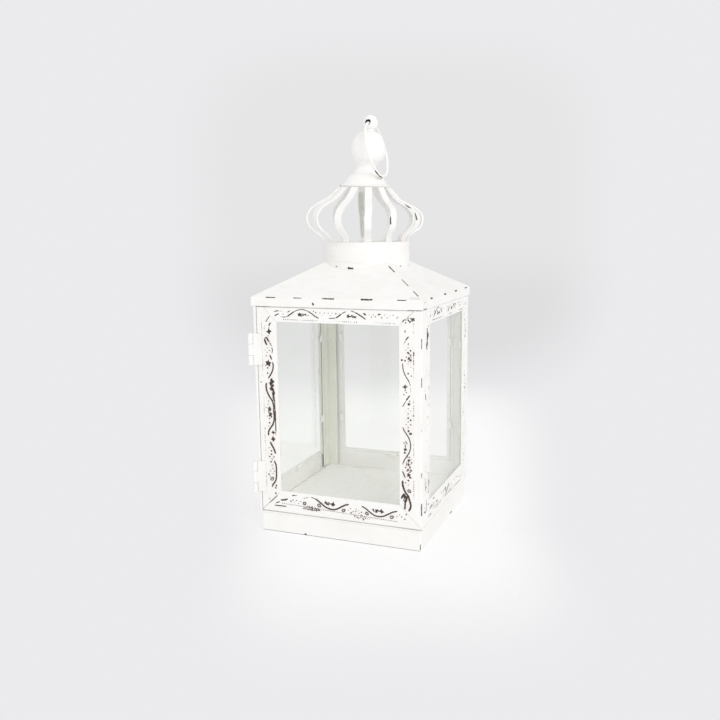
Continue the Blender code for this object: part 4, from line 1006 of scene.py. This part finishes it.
# The first streak is painted shade, darker along the right wall's front corner; the others are
# stains
WALL_STAINS_AND_SHADE = facing_x(
    80, (-79.4, 210, -79.4, 22, 2.6), (-79.3, 190, -79.3, 178, 1.4),
    (68.6, 186, 68.9, 172, 1.5), (72.6, 130, 72.9, 109, 1.3),
    (-73, 39, -66, 33, 1.2))


def make_materials(nodes):
    """Gives every node of the frame its material, and returns the finial's."""
    smooth = dict(flecks=0.0, grime=0.05)
    door = paint("door_paint", marks=DOOR_MARKS, stains_and_shade=DOOR_STAINS, stain_and_shade_tone=FADED_STAIN)
    wall = paint("wall_paint", marks=WALL_MARKS, stains_and_shade=WALL_STAINS_AND_SHADE, flecks=0.3, edges=0.3)
    by_start = {
        "roof": paint(
            "roof_paint", marks=ROOF_MARKS, stains_and_shade=ROOF_STAINS, flecks=0.08, grime=0.06,
            ridges=BRUSHED),
        "collar": paint("collar_paint", marks=COLLAR_MARKS, ridges=BANDED, **smooth),
        # The ribs carry rubbed marks and the back rib's painted shade
        "crown_rib": paint(
            "rib_paint", marks=RIB_MARKS, stains_and_shade=BACK_RIB_PAINTED_SHADE, stain_and_shade_tone=BACK_RIB_SHADE_TONE, **smooth),
        "crown_cap": paint("cap_paint", marks=CAP_MARKS, stains_and_shade=CAP_STAINS, **smooth),
        "finial_bolt": steel("bolt_steel", BOLT_STEEL, 0.35),
        "finial_ball": paint("ball_paint", marks=BALL_HOLE_SHADE, **smooth),
        "finial": paint("finial_paint", **smooth),
        "hanging_ring": paint("ring_paint", marks=RING_MARKS, **smooth),
        "base_tray": paint("tray_paint", marks=TRAY_MARKS, flecks=0.1, grime=0.07),
        "floor_plate": paint(
            "floor_plate_paint", *PLATE_TINTS, flecks=0.5, grime=0.3, ridges=SCUFFED),
        "catch_keeper": steel("keeper_steel", KEEPER_STEEL, 0.30),
        "catch_magnet": dull_case("magnet_case"),
    }
    by_end = {
        "_glass": window_glass("window_glass"),
        "_post": paint("post_paint", *POST_TINTS_AND_SHADE, flecks=0.1, grime=0.2),
        "_leaf": paint("hinge_paint", flecks=0.1, edges=0.25),
        "_pin": paint("pin_paint", flecks=0.1),
    }
    for name, obj in nodes.items():
        mat = door if name.startswith("door_") else wall
        for start, look in by_start.items():
            if name.startswith(start):
                mat = look
                break
        for end, look in by_end.items():
            if name.endswith(end):
                mat = look
        for slot in obj.material_slots:
            slot.material = mat
    return by_start["finial"]


# Stage


def plane(name, centre, size, turn):
    bm = bmesh.new()
    bmesh.ops.create_grid(bm, x_segments=1, y_segments=1, size=size)
    mesh = bpy.data.meshes.new(name)
    bm.to_mesh(mesh)
    bm.free()
    obj = new_object(name, mesh)
    obj.location = centre
    obj.rotation_euler = turn
    return obj


def make_floor():
    """White paper with a painted pool of light, which fades into the background as the camera sees
    it.
    """
    obj = plane("floor", (0, 0, -FLOOR_DROP), FLOOR_SIZE, (0, 0, 0))
    n = Nodes(bpy.data.materials.new("floor_paper"))
    right = n.math("SUBTRACT", n.vector("DOT_PRODUCT", n.coords, POOL_RIGHT), POOL_SHIFT)
    back = n.vector("DOT_PRODUCT", n.coords, POOL_BACK)
    past = n.math("MAXIMUM", n.math("ADD", back, POOL_FRONT), 0.0)
    wide = n.math("MULTIPLY_ADD", past, POOL_SPREAD, POOL_WIDTH)
    near = n.math("MULTIPLY_ADD", back, POOL_NEAR_SLOPE, POOL_NEAR_START)
    far = n.math("DIVIDE", back, POOL_LENGTH)
    distance = n.rounded_square(n.math("DIVIDE", right, wide), n.math("MAXIMUM", near, far))
    paper = n.shader("ShaderNodeBsdfDiffuse", {"Color": FLOOR_WHITE})
    glow = n.shader("ShaderNodeEmission", {"Color": PURE_WHITE})
    clear = n.shader("ShaderNodeBsdfTransparent")
    seen = n.either_ray("Is Camera Ray", "Is Transmission Ray")
    lit = n.blend(n.math("MULTIPLY", seen, FLOOR_GLOW), paper, glow)
    # Painted pool of light: the paper shows inside the pool and gives way to the grey background
    # outside it
    faded = n.math("MULTIPLY", seen, n.ramp(distance, *FLOOR_REACH))
    obj.data.materials.append(n.surface(n.blend(faded, lit, clear)))


def make_backdrop():
    """A soft grey cloud of painted shade behind the lantern, darker towards its foot."""
    turn = (math.pi / 2, 0, math.radians(CLOUD_TURN_DEG))
    obj = plane("backdrop", CLOUD_PLACE, CLOUD_SCREEN, turn)
    n = Nodes(bpy.data.materials.new("backdrop_paper"))
    across, up, _ = n.node("ShaderNodeSeparateXYZ", {0: n.coords}).outputs
    parts = zip((across, up), CLOUD_HALF)
    distance = n.rounded_square(*(n.math("DIVIDE", part, half) for part, half in parts))
    # Painted shade: darker grey towards the cloud's foot
    grey = n.mix(n.ramp(up, *CLOUD_FADE), CLOUD_LOW_GREY, CLOUD_GREY)
    glow = n.shader("ShaderNodeEmission", {"Color": grey})
    clear = n.shader("ShaderNodeBsdfTransparent")
    obj.data.materials.append(n.surface(n.blend(n.ramp(distance, *CLOUD_EDGE), glow, clear)))
    obj.visible_diffuse = False
    obj.visible_shadow = False


def make_key_light():
    data = bpy.data.lights.new("key", "AREA")
    data.shape = "SQUARE"
    data.size = KEY_SIZE
    data.energy = KEY_POWER
    obj = new_object("key", data)
    obj.location = KEY_PLACE
    obj.rotation_mode = "QUATERNION"
    obj.rotation_quaternion = (Vector(KEY_TARGET) - Vector(KEY_PLACE)).to_track_quat("-Z", "Y")
    obj.visible_camera = False


def make_world():
    """Even white light, which the camera sees as the plain grey background."""
    world = bpy.data.worlds.new("studio")
    bpy.context.scene.world = world
    n = Nodes(world, "ShaderNodeOutputWorld")
    light = n.shader("ShaderNodeBackground", {"Color": PURE_WHITE, "Strength": WORLD_STRENGTH})
    seen = n.shader("ShaderNodeBackground", {"Color": BACKDROP_GREY})
    n.surface(n.blend(n.either_ray("Is Camera Ray", "Is Transmission Ray"), light, seen))


def make_camera():
    data = bpy.data.cameras.new("camera")
    data.sensor_width = SENSOR_MM
    data.lens = CAMERA_LENS_MM
    data.clip_start = CLIP_START
    data.clip_end = CLIP_END
    obj = new_object("camera", data)
    obj.location = CAMERA_PLACE
    obj.rotation_euler = [math.radians(angle) for angle in CAMERA_TURN_DEG]
    bpy.context.scene.camera = obj


def main():
    for obj in list(bpy.data.objects):
        bpy.data.objects.remove(obj, do_unlink=True)
    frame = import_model()
    finial_paint = make_materials(frame["nodes"])
    make_ornament()
    make_foot_bead(frame["nodes"]["finial_bulb"], finial_paint)
    make_neck_bead(finial_paint)
    make_collar_bead(frame["nodes"]["collar"].material_slots[0].material)
    make_floor_lip(finial_paint)
    # The putty takes the posts' paint, with its painted shade
    make_putty(frame["nodes"]["back_left_post"].material_slots[0].material)
    make_floor()
    make_backdrop()
    make_world()
    make_key_light()
    make_camera()
    bpy.context.scene.view_settings.view_transform = "Standard"
    bpy.context.view_layer.update()


main()
